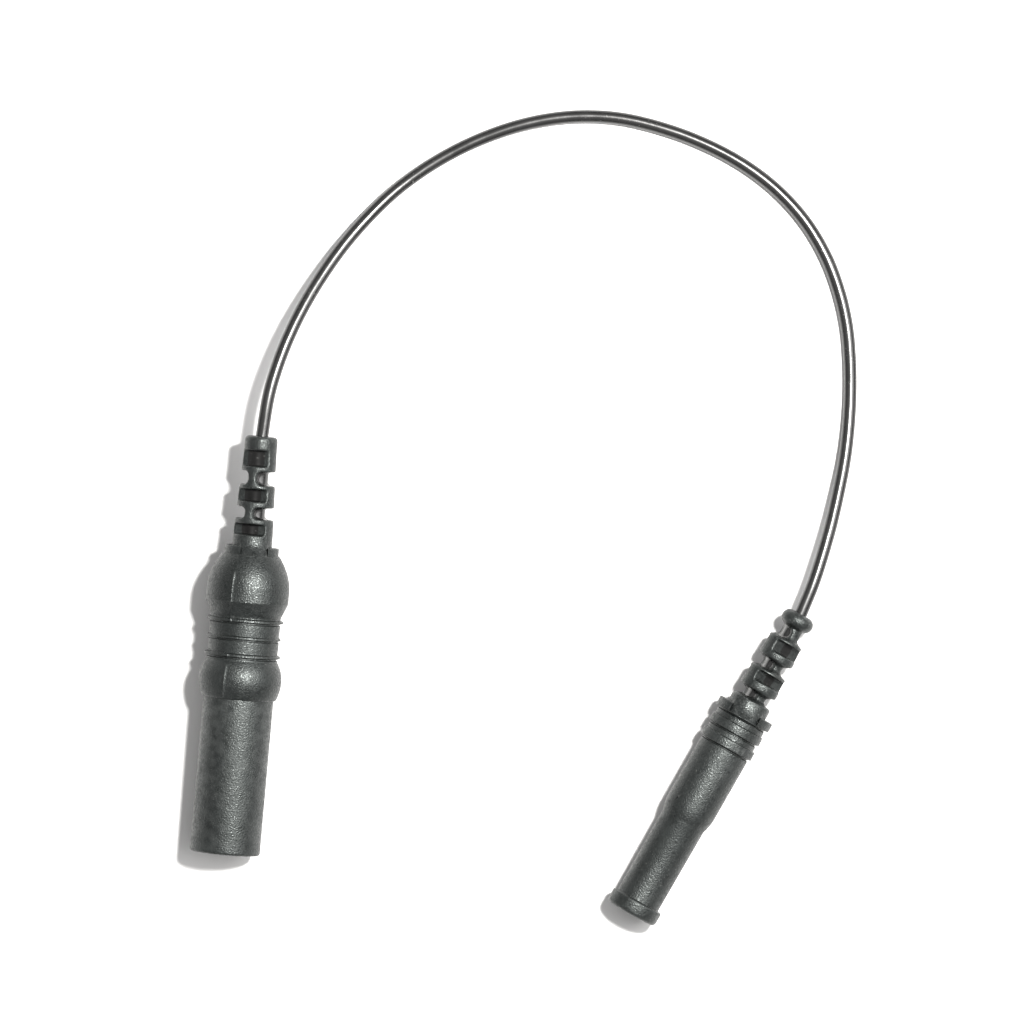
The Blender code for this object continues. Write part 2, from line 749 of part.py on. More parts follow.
def socket_body(shop, parent, surface):
    """The outer moulding: rim, nose, shoulder, body, two ribs and two ears."""
    shoulder = SOCKET_BODY_TOP - SOCKET_EAR_H
    neck = SOCKET_NECK_R + FIT
    stem = SOCKET_STEM_R + FIT
    cavity = SOCKET_INNER_R + FIT
    anchor_top = SOCKET_INNER_TOP + FIT + SOCKET_ANCHOR_L + FIT
    bore = INSULATOR_R + FIT
    corners = [
        (neck, SOCKET_BODY_TOP),
        (SOCKET_EAR_R, SOCKET_BODY_TOP, EAR_EDGE),
        (SOCKET_EAR_R, shoulder, EAR_FOOT_EDGE),
        (SOCKET_R, shoulder),
    ]
    corners += ring_bumps(RIBS, SOCKET_R, RIB_H)
    corners += [
        *crown((SOCKET_R, NOSE_L + SHOULDER_L), (NOSE_REAR_R, NOSE_L)),
        (NOSE_FRONT_R, RIM_L),
        (RIM_R, RIM_L - END_GAP, RIM_TOP_EDGE),
        (RIM_R, 0.0, RIM_MOUTH_EDGE),
        (bore, 0.0),
        (bore, INSULATOR_TOP + FIT),
        (cavity, INSULATOR_TOP + FIT),
        (cavity, anchor_top),
        (stem, anchor_top),
        (stem, shoulder + NECK_SEAT),
        (neck, shoulder + NECK_SEAT),
    ]
    body = turned(shop, "socket_body", parent, corners, surface)
    height = SOCKET_EAR_H - NECK_SEAT
    ear_gap(shop, "socket_ear_gap", parent, body, SOCKET_BODY_TOP, height, SOCKET_EAR_GAP)
    return body


def socket_relief(shop, parent, surface):
    """The slotted bend relief with its knob, stem and anchoring flange."""
    neck_foot = SOCKET_BODY_TOP - SOCKET_EAR_H + NECK_SEAT + FIT
    anchor_foot = SOCKET_INNER_TOP + FIT
    anchor_top = anchor_foot + SOCKET_ANCHOR_L
    bore = CORD_R + FIT
    pockets = above(SOCKET_BODY_TOP, SOCKET_POCKETS)
    notches = above(SOCKET_BODY_TOP, SOCKET_NOTCHES)
    low, middle, high = notches
    low_r, middle_r, high_r = SOCKET_WAISTS
    corners = (
        (KNOB_MOUTH_R, SOCKET_RELIEF_TOP, KNOB_MOUTH_EDGE),
        (KNOB_R, SOCKET_RELIEF_TOP - KNOB_SLOPE, KNOB_TOP_EDGE),
        (KNOB_R, high[1] + KNOB_FOOT_RISE, KNOB_FOOT_EDGE),
        (high_r, high[1] - HIGH_WAIST_DROP, HIGH_WAIST_EDGE),
        (high_r, high[0] + HIGH_WAIST_RISE, HIGH_WAIST_EDGE),
        (RING_R_HIGH, high[0], RING_TOP_EDGE),
        (RING_R_HIGH + RING_TAPER, middle[1] - RING_FOOT_DROP, RING_FOOT_EDGE),
        (middle_r, middle[1] - WAIST_BEVEL, MIDDLE_WAIST_EDGE),
        (middle_r, middle[0] + WAIST_BEVEL, MIDDLE_WAIST_EDGE),
        (RING_R_LOW - RING_TAPER, middle[0], RING_TOP_EDGE),
        (RING_R_LOW, low[1] - RING_FOOT_DROP, RING_FOOT_EDGE),
        (low_r, low[1] - WAIST_BEVEL, LOW_WAIST_EDGE),
        (low_r, low[0] + LOW_WAIST_RISE, LOW_WAIST_EDGE),
        (SOCKET_NECK_R, low[0] - NECK_TOP_DROP, NECK_TOP_EDGE),
        (SOCKET_NECK_R, neck_foot),
        (SOCKET_STEM_R, neck_foot),
        (SOCKET_STEM_R, anchor_top),
        (SOCKET_INNER_R, anchor_top),
        (SOCKET_INNER_R, anchor_foot),
        (bore, anchor_foot),
        (bore, SOCKET_RELIEF_TOP),
    )
    relief = turned(shop, "socket_strain_relief", parent, corners, surface)
    neck_tongues(
        shop, "socket_neck_tongues", parent, relief,
        (SOCKET_NECK_R, SOCKET_BODY_TOP + TONGUE_RISE), (SOCKET_EAR_R - NECK_SEAT, neck_foot),
        SOCKET_EAR_GAP,
    )

    def radius_at(place):
        share = (place - low[1]) / (high[0] - low[1])
        return RING_R_LOW + (RING_R_HIGH - RING_R_LOW) * share

    specs = slot_boxes(
        pockets, notches, radius_at, SOCKET_SLAB_HALF, SOCKET_POCKET_WALL, SOCKET_WEB_HALF
    )
    relief_slots(
        shop, "socket_relief_slots", parent, relief, specs, SOCKET_SLEEVE_WALL, SOCKET_RELIEF_TOP,
        SOCKET_TURN,
    )
    return relief


def socket_insulator(shop, parent, surface):
    """The rigid tube round the contact, with a lip that keeps fingers off it."""
    corners = (
        (INSULATOR_R, INSULATOR_TOP),
        (INSULATOR_R, INSULATOR_RECESS, INSULATOR_EDGE),
        (INSULATOR_LIP_R, INSULATOR_RECESS, INSULATOR_LIP_EDGE),
        (INSULATOR_LIP_R, INSULATOR_RECESS + INSULATOR_LIP_L),
        (CLIP_ROOM_R, INSULATOR_RECESS + INSULATOR_LIP_L),
        (CLIP_ROOM_R, INSULATOR_TOP),
    )
    return turned(shop, "socket_insulator", parent, corners, surface, INNER_STEPS)


def socket_contact(shop, parent, surface):
    """The slotted contact tube with its flange and crimp barrel."""
    flange_foot = INSULATOR_TOP + FIT
    flange_top = flange_foot + FLANGE_L
    corners = (
        (SOCKET_CRIMP_R, SOCKET_CRIMP_TOP, CRIMP_EDGE),
        (SOCKET_CRIMP_R, flange_top),
        (CONTACT_FLANGE_R, flange_top, FLANGE_EDGE),
        (CONTACT_FLANGE_R, flange_foot),
        (CONTACT_R, flange_foot),
        (CONTACT_R, CONTACT_RECESS, CONTACT_EDGE),
        (CONTACT_BORE_R, CONTACT_RECESS, CONTACT_MOUTH_EDGE),
        (CONTACT_BORE_R, CONTACT_BORE_TOP),
        (0.0, CONTACT_BORE_TOP + CONTACT_BORE_CONE),
        (0.0, SOCKET_CRIMP_TOP - CRIMP_DEPTH),
        (CRIMP_BORE_R, SOCKET_CRIMP_TOP - CRIMP_DEPTH),
        (CRIMP_BORE_R, SOCKET_CRIMP_TOP),
    )
    contact = turned(shop, "socket_contact", parent, corners, surface, INNER_STEPS)
    middle = 0.5 * (CONTACT_SLOT_FOOT + CONTACT_SLOT_TOP)
    size = (CONTACT_SLOT_W, THROUGH, CONTACT_SLOT_TOP - CONTACT_SLOT_FOOT)
    for index in range(CONTACT_SLOTS // 2):
        name = "socket_contact_slot_%d" % (index + 1)
        turn = 2 * math.pi * (index + 0.5) / CONTACT_SLOTS
        data = boxes(name, [((0.0, 0.0, middle), size, 0.0)])
        cut(contact, shop.place(name, data, parent, turn=turn))
    return contact


def socket_clip(shop, parent, surface):
    """The open spring ring that closes the contact's tines."""
    foot = CONTACT_RECESS + CLIP_FROM_TIP
    inner = CONTACT_R + FIT
    corners = (
        (inner + CLIP_WALL, foot + CLIP_L),
        (inner + CLIP_WALL, foot),
        (inner, foot),
        (inner, foot + CLIP_L),
    )
    clip = turned(shop, "socket_clip_spring", parent, corners, surface, INNER_STEPS)
    spec = ((0.0, -SLOT_REACH / 2, foot + CLIP_L / 2), (CLIP_GAP, SLOT_REACH, CLIP_L * 2), 0.0)
    cut(clip, shop.place("socket_clip_gap", boxes("socket_clip_gap", [spec]), parent))
    return clip


def socket_inner(shop, parent, surface):
    """The rigid moulding that locks the crimp barrel and the jacket in line."""
    foot = INSULATOR_TOP + FIT
    flange_top = foot + FLANGE_L + FIT
    corners = (
        (SOCKET_INNER_R, SOCKET_INNER_TOP, SOCKET_INNER_EDGE),
        (SOCKET_INNER_R, foot + FIT, INNER_FOOT_EDGE),
        (CONTACT_FLANGE_R + FIT, foot + FIT),
        (CONTACT_FLANGE_R + FIT, flange_top),
        (SOCKET_CRIMP_R + FIT, flange_top),
        (SOCKET_CRIMP_R + FIT, SOCKET_CRIMP_TOP + FIT),
        (CORD_R + FIT, SOCKET_JACKET_FOOT + FIT),
        (CORD_R + FIT, SOCKET_INNER_TOP),
    )
    return turned(shop, "socket_inner_mould", parent, corners, surface, INNER_STEPS)


def build_socket(shop, looks):
    """The in-line socket and everything inside it, down to the end of its cord."""
    tilt, height = resting((SOCKET_REST, RIM_R), (SOCKET_BODY_TOP - SOCKET_EAR_H / 2, SOCKET_EAR_R))
    frame = shop.empty("socket_frame", axis_frame(SOCKET_FRONT, SOCKET_HEADING, tilt, height))
    socket_body(shop, frame, looks["rubber"])
    socket_relief(shop, frame, looks["rubber"])
    socket_insulator(shop, frame, looks["shell"])
    socket_contact(shop, frame, looks["nickel"])
    socket_clip(shop, frame, looks["spring"])
    socket_inner(shop, frame, looks["inner"])
    cord_end(shop, "socket_cord_end", frame, SOCKET_JACKET_FOOT, SOCKET_RELIEF_TOP, looks["jacket"])
    wire_foot = SOCKET_CRIMP_TOP - CRIMP_DEPTH + FIT
    wire_top = SOCKET_JACKET_FOOT - FIT
    conductor(shop, "socket_conductor", frame, wire_foot, wire_top, looks["copper"])
    return frame


# Cord


def smooth_path(points, spacing):
    """Points at an even spacing on a smooth curve through the route."""
    ends = [2 * points[0] - points[1], *points, 2 * points[-1] - points[-2]]
    dense = []
    for index in range(1, len(ends) - 2):
        a, b, c, d = ends[index - 1 : index + 3]
        for step in range(ROUTE_STEPS):
            t = step / ROUTE_STEPS
            dense.append(
                0.5 * (2 * b + (c - a) * t + (2 * a - 5 * b + 4 * c - d) * t * t
                       + (3 * b - a - 3 * c + d) * t * t * t)
            )
    dense.append(points[-1])
    length = sum((q - p).length for p, q in zip(dense, dense[1:]))
    count = round(length / spacing)
    even = [dense[0]]
    travelled = 0.0
    for p, q in zip(dense, dense[1:]):
        step = (q - p).length
        while len(even) < count and travelled + step >= length * len(even) / count:
            even.append(p.lerp(q, (length * len(even) / count - travelled) / step))
        travelled += step
    even.append(dense[-1])
    return even


def build_cord(shop, plug, socket, surface):
    """The free stretch of cord: out of the plug, over the table and into the socket."""
    start = plug.matrix_world @ Vector((0.0, 0.0, (PLUG_RELIEF_TOP + CORD_GAP) * MM)) / MM
    end = socket.matrix_world @ Vector((0.0, 0.0, (SOCKET_RELIEF_TOP + CORD_GAP) * MM)) / MM
    route = [start, *[Vector((x, y, underside + CORD_R)) for x, y, underside in ROUTE], end]
    path = smooth_path(route, CORD_SPACING)
    data = bpy.data.curves.new("cord", "CURVE")
    data.dimensions = "3D"
    data.bevel_depth = CORD_R * MM
    data.bevel_resolution = 2
    data.use_fill_caps = True
    spline = data.splines.new("POLY")
    spline.points.add(len(path) - 1)
    for point, place in zip(spline.points, path):
        point.co = (*(place * MM), 1.0)
    return shop.place("cord", data, None, surface)


def main():
    """Build the lead."""
    clear_scene()
    shop = Workshop()
    looks = {
        "shell": material("black_hard_plastic", (0.030, 0.031, 0.032), 0.50),
        "rubber": material("black_moulding", (0.036, 0.038, 0.038), 0.62),
        "inner": material("natural_nylon", (0.62, 0.58, 0.49), 0.45),
        "nickel": material("nickel_plated_brass", (0.66, 0.62, 0.55), 0.22, 1.0),
        "spring": material("nickel_spring_bronze", (0.62, 0.58, 0.52), 0.28, 1.0),
        "copper": material("copper_strands", (0.74, 0.40, 0.25), 0.32, 1.0),
        "jacket": material("black_cord_jacket", (0.020, 0.020, 0.021), 0.22),
    }
    plug = build_plug(shop, looks)
    socket = build_socket(shop, looks)
    bpy.context.view_layer.update()
    build_cord(shop, plug, socket, looks["jacket"])


main()
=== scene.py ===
"""Looks of a short adapter lead: a shrouded plug, an in-line socket and the cord between them.

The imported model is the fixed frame. Each connector is modelled upright on its own axis, in
millimetres, with its front end at 0 and its cord end up, and is then laid where the frame has it.
"""

import json
import logging
import math
from collections.abc import Callable, Iterable, Sequence
from dataclasses import dataclass, field
from enum import Enum

import bmesh
import bpy
from mathutils import Matrix, Vector

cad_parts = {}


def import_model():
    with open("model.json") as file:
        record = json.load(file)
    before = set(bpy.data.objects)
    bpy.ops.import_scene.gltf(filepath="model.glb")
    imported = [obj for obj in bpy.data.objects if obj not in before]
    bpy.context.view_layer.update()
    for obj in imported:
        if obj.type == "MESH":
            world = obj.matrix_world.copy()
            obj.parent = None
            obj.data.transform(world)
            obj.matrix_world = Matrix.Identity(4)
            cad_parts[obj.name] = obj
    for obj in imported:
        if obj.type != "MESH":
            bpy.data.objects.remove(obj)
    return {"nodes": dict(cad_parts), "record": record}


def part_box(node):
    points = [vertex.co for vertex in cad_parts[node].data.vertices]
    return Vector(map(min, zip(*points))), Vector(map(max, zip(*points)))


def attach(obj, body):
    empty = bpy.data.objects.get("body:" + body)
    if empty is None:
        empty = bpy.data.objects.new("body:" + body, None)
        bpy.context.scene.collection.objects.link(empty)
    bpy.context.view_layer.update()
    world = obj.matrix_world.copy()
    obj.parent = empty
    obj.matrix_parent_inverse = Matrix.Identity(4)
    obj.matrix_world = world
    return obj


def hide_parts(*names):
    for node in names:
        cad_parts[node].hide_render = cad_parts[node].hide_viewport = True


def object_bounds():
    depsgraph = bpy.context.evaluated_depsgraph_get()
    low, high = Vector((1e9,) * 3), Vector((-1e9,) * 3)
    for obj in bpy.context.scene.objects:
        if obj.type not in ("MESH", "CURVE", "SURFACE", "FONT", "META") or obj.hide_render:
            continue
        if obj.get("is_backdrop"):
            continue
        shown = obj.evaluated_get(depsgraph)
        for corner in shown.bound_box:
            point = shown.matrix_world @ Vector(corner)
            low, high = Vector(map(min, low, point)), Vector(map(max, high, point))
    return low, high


LOG = logging.getLogger("adapter_lead")
MM = 0.001
LEAD = "lead"
CAGE = "contact_cage"

# Angles past which an edge stays sharp, in degrees
CREASE = 35.0
SOFT_CREASE = 60.0

# Sizes that both connectors share, in millimetres, and a notch's fillet as a share of its height
SKIN_VOXEL = 0.065
FIT = 0.05
CLOSE_FIT = 0.03
CORD_INSET = 0.5
FLANGE_HEIGHT = 0.75
CRIMP_LENGTH = 4.7
POCKET_FILLET = 0.28
NOTCH_FILLET_SHARE = 0.44
ACROSS = 12.0

Corner = tuple[float, float] | tuple[float, float, float]
Slot = tuple[float, float]
Colour = tuple[float, float, float]


# Edit-mode helpers


class Operation(Enum):
    """What a Boolean does with its cutter."""

    CUT = "DIFFERENCE"
    JOIN = "UNION"
    KEEP = "INTERSECT"


def start_clean() -> None:
    """Leave edit mode and deselect everything, so that an operator acts on one piece only."""
    if bpy.context.object is not None and bpy.context.object.mode != "OBJECT":
        bpy.ops.object.mode_set(mode="OBJECT")
    bpy.ops.object.select_all(action="DESELECT")


def pick(piece: bpy.types.Object) -> None:
    """Make one piece the selected and active one."""
    start_clean()
    piece.select_set(True)
    bpy.context.view_layer.objects.active = piece


def apply_modifier(piece: bpy.types.Object, kind: str, **settings: object) -> None:
    """Add a modifier, set it and apply it.

    Args:
        piece: The object that gets it.
        kind: The modifier's type.
        **settings: Values of the modifier's own properties.
    """
    pick(piece)
    modifier = piece.modifiers.new(kind.title(), kind)
    for name, value in settings.items():
        setattr(modifier, name, value)
    bpy.ops.object.modifier_apply(modifier=modifier.name)


def boolean(piece: bpy.types.Object, tool: bpy.types.Object, operation: Operation) -> None:
    """Apply a Boolean with another object, which is then removed.

    Args:
        piece: The object that is changed.
        tool: The object that cuts it or joins it.
        operation: What is done with the tool.
    """
    apply_modifier(piece, "BOOLEAN", object=tool, operation=operation.value, solver="EXACT")
    bpy.data.objects.remove(tool, do_unlink=True)


def soften(piece: bpy.types.Object, voxel: float, rounds: int) -> None:
    """Round every edge of a moulded piece by a fine remesh and a little smoothing.

    Args:
        piece: The object that is changed.
        voxel: Size of the remesh, in millimetres.
        rounds: How many times the result is smoothed.
    """
    apply_modifier(piece, "REMESH", mode="VOXEL", voxel_size=voxel * MM, use_smooth_shade=True)
    apply_modifier(piece, "SMOOTH", factor=0.5, iterations=rounds)


def smooth_shading(piece: bpy.types.Object, degrees: float) -> None:
    """Shade a piece smooth, with creases sharper than an angle kept."""
    pick(piece)
    bpy.ops.object.shade_smooth_by_angle(angle=math.radians(degrees))


def add_object(name: str, data: bpy.types.ID) -> bpy.types.Object:
    """Put new data in the scene as an object."""
    made = bpy.data.objects.new(name, data)
    bpy.context.scene.collection.objects.link(made)
    return made


def block(name: str, centre: Vector, size: Vector, fillet: float, steps: int = 4) -> bpy.types.Object:
    """A box whose edges along Y are rounded, used to cut slots.

    Args:
        name: The object's name.
        centre: Its middle, in millimetres.
        size: Its three sides, in millimetres.
        fillet: Radius of the rounded edges, in millimetres.
        steps: Segments in each rounded edge.

    Returns:
        The new box.
    """
    start_clean()
    bpy.ops.mesh.primitive_cube_add(size=1.0, location=centre * MM, scale=size * MM)
    box = bpy.context.object
    box.name = name
    bpy.ops.object.transform_apply(location=True, rotation=True, scale=True)
    bpy.ops.object.mode_set(mode="EDIT")
    bpy.ops.mesh.select_all(action="DESELECT")
    edit = bmesh.from_edit_mesh(box.data)
    for edge in edit.edges:
        line = edge.verts[1].co - edge.verts[0].co
        edge.select_set(abs(line.y) > 0.9 * line.length)
    bmesh.update_edit_mesh(box.data)
    if fillet > 0.0:
        bpy.ops.mesh.bevel(offset=fillet * MM, segments=steps, affect="EDGES")
    bpy.ops.object.mode_set(mode="OBJECT")
    return box


@dataclass
class Outline:
    """A closed outline in millimetres: down its outer side, in, and up its inner one."""

    corners: list[tuple[float, float, float]] = field(default_factory=list)
    arc_steps: int = 6

    def to(self, *corners: Corner) -> "Outline":
        """Add corners, each (radius, place) or (radius, place, fillet), and return the outline."""
        for corner in corners:
            fillet = corner[2] if len(corner) > 2 else 0.0
            self.corners.append((corner[0], corner[1], fillet))
        return self

    def bead(self, middle: float, radius: float, half: float, steps: int = 12) -> "Outline":
        """Add a half-round bead that bulges outwards, from its top round to its foot."""
        for step in range(steps + 1):
            angle = math.pi * (0.5 - step / steps)
            self.to((radius - half + half * math.cos(angle), middle + half * math.sin(angle)))
        return self

    def crown(self, start: Slot, end: Slot, steps: int = 14) -> "Outline":
        """Add a quarter bulge, level at whichever end has the larger radius.

        Args:
            start: Radius and place where it starts.
            end: Radius and place where it ends.
            steps: How many stretches it has.

        Returns:
            The outline.
        """
        rising = end[0] > start[0]
        peak, low = (end, start) if rising else (start, end)
        for step in range(steps + 1):
            share = 1.0 - step / steps if rising else step / steps
            radius = peak[0] - (peak[0] - low[0]) * share * share
            self.corners.append((radius, peak[1] + (low[1] - peak[1]) * share, 0.0))
        return self

    def grip_ring(self, middle: float, radius: float, base: float, height: float) -> "Outline":
        """Add a fine raised ring with a shallow groove on its lower side."""
        half = height / 2
        return self.to(
            (base - 0.04, middle + half + 0.1, 0.06),
            (base - 0.04, middle + half, 0.05),
            (radius - 0.03, middle + half * 0.5, 0.07),
            (radius, middle - half * 0.4, 0.06),
            (base - 0.12, middle - half * 0.7, 0.06),
            (base - 0.12, middle - half * 1.15, 0.06),
            (base, middle - half * 1.5, 0.05),
        )

    def points(self) -> list[Vector]:
        """The outline's points, with its corners rounded."""
        rounded: list[Vector] = []
        count = len(self.corners)
        for index, (radius, place, fillet) in enumerate(self.corners):
            here = Vector((radius, place))
            before = Vector(self.corners[index - 1][:2]) - here
            after = Vector(self.corners[(index + 1) % count][:2]) - here
            if fillet <= 0.0:
                rounded.append(here)
                continue
            half = before.angle(after) / 2
            setback = min(fillet / math.tan(half), before.length * 0.48, after.length * 0.48)
            start = here + before.normalized() * setback
            end = here + after.normalized() * setback
            for step in range(self.arc_steps + 1):
                share = step / self.arc_steps
                rounded.append(start.lerp(here, share).lerp(here.lerp(end, share), share))
        return rounded


def turned(name: str, outline: Outline, segments: int = 128) -> bpy.types.Object:
    """Draw an outline by extruding one vertex along it, and spin it about the axis.

    Args:
        name: The object's name.
        outline: The closed outline.
        segments: Steps round the axis.

    Returns:
        The turned piece, upright on the origin.
    """
    points = outline.points()
    start_clean()
    bpy.ops.mesh.primitive_plane_add(size=MM, location=(0.0, 0.0, 0.0))
    piece = bpy.context.object
    piece.name = name
    bpy.ops.object.mode_set(mode="EDIT")
    bpy.ops.mesh.select_all(action="SELECT")
    bpy.ops.mesh.merge(type="CENTER")
    bpy.ops.transform.translate(value=(points[0].x * MM, 0.0, points[0].y * MM))
    for here, there in zip(points, points[1:] + points[:1]):
        step = (there - here) * MM
        bpy.ops.mesh.extrude_region_move(TRANSFORM_OT_translate={"value": (step.x, 0.0, step.y)})
    bpy.ops.mesh.select_all(action="SELECT")
    bpy.ops.mesh.remove_doubles(threshold=1e-7)
    bpy.ops.mesh.select_all(action="SELECT")
    bpy.ops.mesh.spin(steps=segments, angle=2 * math.pi, center=(0, 0, 0), axis=(0, 0, 1))
    bpy.ops.mesh.select_all(action="SELECT")
    bpy.ops.mesh.remove_doubles(threshold=1e-7)
    bpy.ops.mesh.normals_make_consistent(inside=False)
    bpy.ops.object.mode_set(mode="OBJECT")
    return piece


@dataclass(frozen=True)
class Seam:
    """The groove and its two low ridges that a mould's halves leave down both sides of a piece.

    The turn about the axis is in radians, and the sizes are in millimetres.
    """

    turn: float
    width: float
    ridge: float
    groove: float

    def mark(self, piece: bpy.types.Object) -> None:
        """Raise and sink the surface along the seam of a turned piece, still upright on the origin."""
        across = Vector((math.cos(self.turn), math.sin(self.turn), 0.0))
        pick(piece)
        bpy.ops.object.mode_set(mode="EDIT")
        for step in range(-2, 3):
            bpy.ops.mesh.select_all(action="SELECT")
            bpy.ops.mesh.bisect(plane_co=across * step * self.width * MM, plane_no=across)
        for step, height in ((0, -self.groove), (-1, self.ridge), (1, self.ridge)):
            self.select_line(piece, across, step * self.width * MM)
            bpy.ops.transform.shrink_fatten(value=height * MM)
        bpy.ops.object.mode_set(mode="OBJECT")

    @staticmethod
    def select_line(piece: bpy.types.Object, across: Vector, offset: float) -> None:
        """Select the outer points at one distance from the seam's plane."""
        bpy.ops.mesh.select_all(action="DESELECT")
        edit = bmesh.from_edit_mesh(piece.data)
        edit.normal_update()
        for vert in edit.verts:
            outward = Vector((vert.co.x, vert.co.y, 0.0)).normalized()
            vert.select_set(abs(vert.co.dot(across) - offset) < 1e-7 and vert.normal.dot(outward) > 0.5)
        edit.select_flush_mode()
        bmesh.update_edit_mesh(piece.data)


# Materials


@dataclass
class Sheet:
    """A node tree with short ways to add and join nodes."""

    tree: bpy.types.NodeTree

    def add(self, kind: str, **settings: object) -> bpy.types.Node:
        """Add a node; settings named like its inputs set those, and others set its properties."""
        node = self.tree.nodes.new(kind)
        for name, value in settings.items():
            label = name.replace("_", " ").title()
            if hasattr(node, name):
                setattr(node, name, value)
            else:
                node.inputs[label].default_value = value
        return node

    def join(self, source: bpy.types.NodeSocket, target: bpy.types.NodeSocket) -> None:
        """Link an output to an input."""
        self.tree.links.new(source, target)

    def maths(self, operation: str, *values: object) -> bpy.types.NodeSocket:
        """A Math node on numbers or outputs, and its result."""
        node = self.tree.nodes.new("ShaderNodeMath")
        node.operation = operation
        for index, value in enumerate(values):
            if isinstance(value, bpy.types.NodeSocket):
                self.join(value, node.inputs[index])
            else:
                node.inputs[index].default_value = value
        return node.outputs[0]

    def noise(self, where: bpy.types.NodeSocket, scale: object, detail: float, **settings: float
              ) -> bpy.types.NodeSocket:
        """Soft noise over a vector, with a scale that is a number or an output."""
        node = self.add("ShaderNodeTexNoise", detail=detail, **settings)
        self.join(where, node.inputs["Vector"])
        if isinstance(scale, bpy.types.NodeSocket):
            self.join(scale, node.inputs["Scale"])
        else:
            node.inputs["Scale"].default_value = scale
        return node.outputs["Fac"]

    def ramp(self, source: bpy.types.NodeSocket, low: float, high: float) -> bpy.types.NodeSocket:
        """Stretch a value so that low becomes 0 and high becomes 1, held there beyond them."""
        node = self.tree.nodes.new("ShaderNodeMapRange")
        self.join(source, node.inputs["Value"])
        node.inputs["From Min"].default_value = low
        node.inputs["From Max"].default_value = high
        return node.outputs["Result"]

    def blend(
        self, share: bpy.types.NodeSocket, first: object, second: object
    ) -> bpy.types.NodeSocket:
        """Mix two colours, each a constant or an output, by a share."""
        node = self.tree.nodes.new("ShaderNodeMix")
        node.data_type = "RGBA"
        self.join(share, node.inputs[0])
        for value, socket in ((first, node.inputs[6]), (second, node.inputs[7])):
            if isinstance(value, bpy.types.NodeSocket):
                self.join(value, socket)
            else:
                socket.default_value = (*value, 1.0)
        return node.outputs[2]


def new_group(
    name: str, inputs: dict[str, float], outputs: Iterable[str]
) -> tuple[Sheet, bpy.types.Node, bpy.types.Node]:
    """A shader node group with a Vector input, number inputs and number outputs.

    Args:
        name: The group's name.
        inputs: Number inputs and their default values.
        outputs: Names of its number outputs.

    Returns:
        The group's sheet, its input node and its output node.
    """
    tree = bpy.data.node_groups.new(name, "ShaderNodeTree")
    tree.interface.new_socket("Vector", in_out="INPUT", socket_type="NodeSocketVector")
    for label, value in inputs.items():
        socket = tree.interface.new_socket(label, in_out="INPUT", socket_type="NodeSocketFloat")
        socket.default_value = value
    for label in outputs:
        tree.interface.new_socket(label, in_out="OUTPUT", socket_type="NodeSocketFloat")
    sheet = Sheet(tree)
    return sheet, tree.nodes.new("NodeGroupInput"), tree.nodes.new("NodeGroupOutput")


def grain_group() -> bpy.types.NodeTree:
    """The grain of a spark-eroded mould: pits and peaks of two sizes, uneven flecks and broad clouds."""
    sheet, given, result = new_group(
        "Spark grain", {"Size": 0.2, "Coarse": 1.4}, ("Height", "Fleck", "Cloud")
    )
    spot = given.outputs["Vector"]
    scale = sheet.maths("DIVIDE", 1000.0, given.outputs["Size"])
    fine = sheet.noise(spot, scale, 2.0, roughness=0.6)
    coarse = sheet.noise(spot, sheet.maths("DIVIDE", scale, given.outputs["Coarse"]), 3.0, roughness=0.55)
    cells = sheet.add("ShaderNodeTexVoronoi", feature="F1")
    sheet.join(spot, cells.inputs["Vector"])
    sheet.join(sheet.maths("MULTIPLY", scale, 0.9), cells.inputs["Scale"])
    pits = sheet.ramp(cells.outputs["Distance"], 0.0, 0.75)
    peaks = sheet.maths("ADD", fine, sheet.maths("MULTIPLY", coarse, 0.4))
    fleck = sheet.add("ShaderNodeSeparateColor")
    sheet.join(cells.outputs["Color"], fleck.inputs[0])
    sheet.join(sheet.maths("ADD", peaks, sheet.maths("MULTIPLY", pits, -0.5)), result.inputs["Height"])
    sheet.join(fleck.outputs[0], result.inputs["Fleck"])
    sheet.join(sheet.ramp(sheet.noise(spot, 260.0, 3.0), 0.35, 0.7), result.inputs["Cloud"])
    return sheet.tree


def handling_group() -> bpy.types.NodeTree:
    """Signs of handling: rubbed edges and thin, patchy dust."""
    sheet, given, result = new_group(
        "Handling", {"Edge": 0.5, "Dust": 0.3}, ("Rubbed", "Dusty")
    )
    spot = given.outputs["Vector"]
    bends = sheet.add("ShaderNodeNewGeometry")
    edges = sheet.ramp(bends.outputs["Pointiness"], 0.515, 0.58)
    patches = sheet.ramp(sheet.noise(spot, 900.0, 4.0), 0.4, 0.65)
    rubbed = sheet.maths("MULTIPLY", sheet.maths("MULTIPLY", edges, patches), given.outputs["Edge"])
    dots = sheet.ramp(sheet.noise(spot, 3800.0, 2.0), 0.66, 0.74)
    drift = sheet.ramp(sheet.noise(spot, 140.0, 2.0), 0.45, 0.7)
    dusty = sheet.maths("MULTIPLY", sheet.maths("MULTIPLY", dots, drift), given.outputs["Dust"])
    sheet.join(rubbed, result.inputs["Rubbed"])
    sheet.join(dusty, result.inputs["Dusty"])
    return sheet.tree


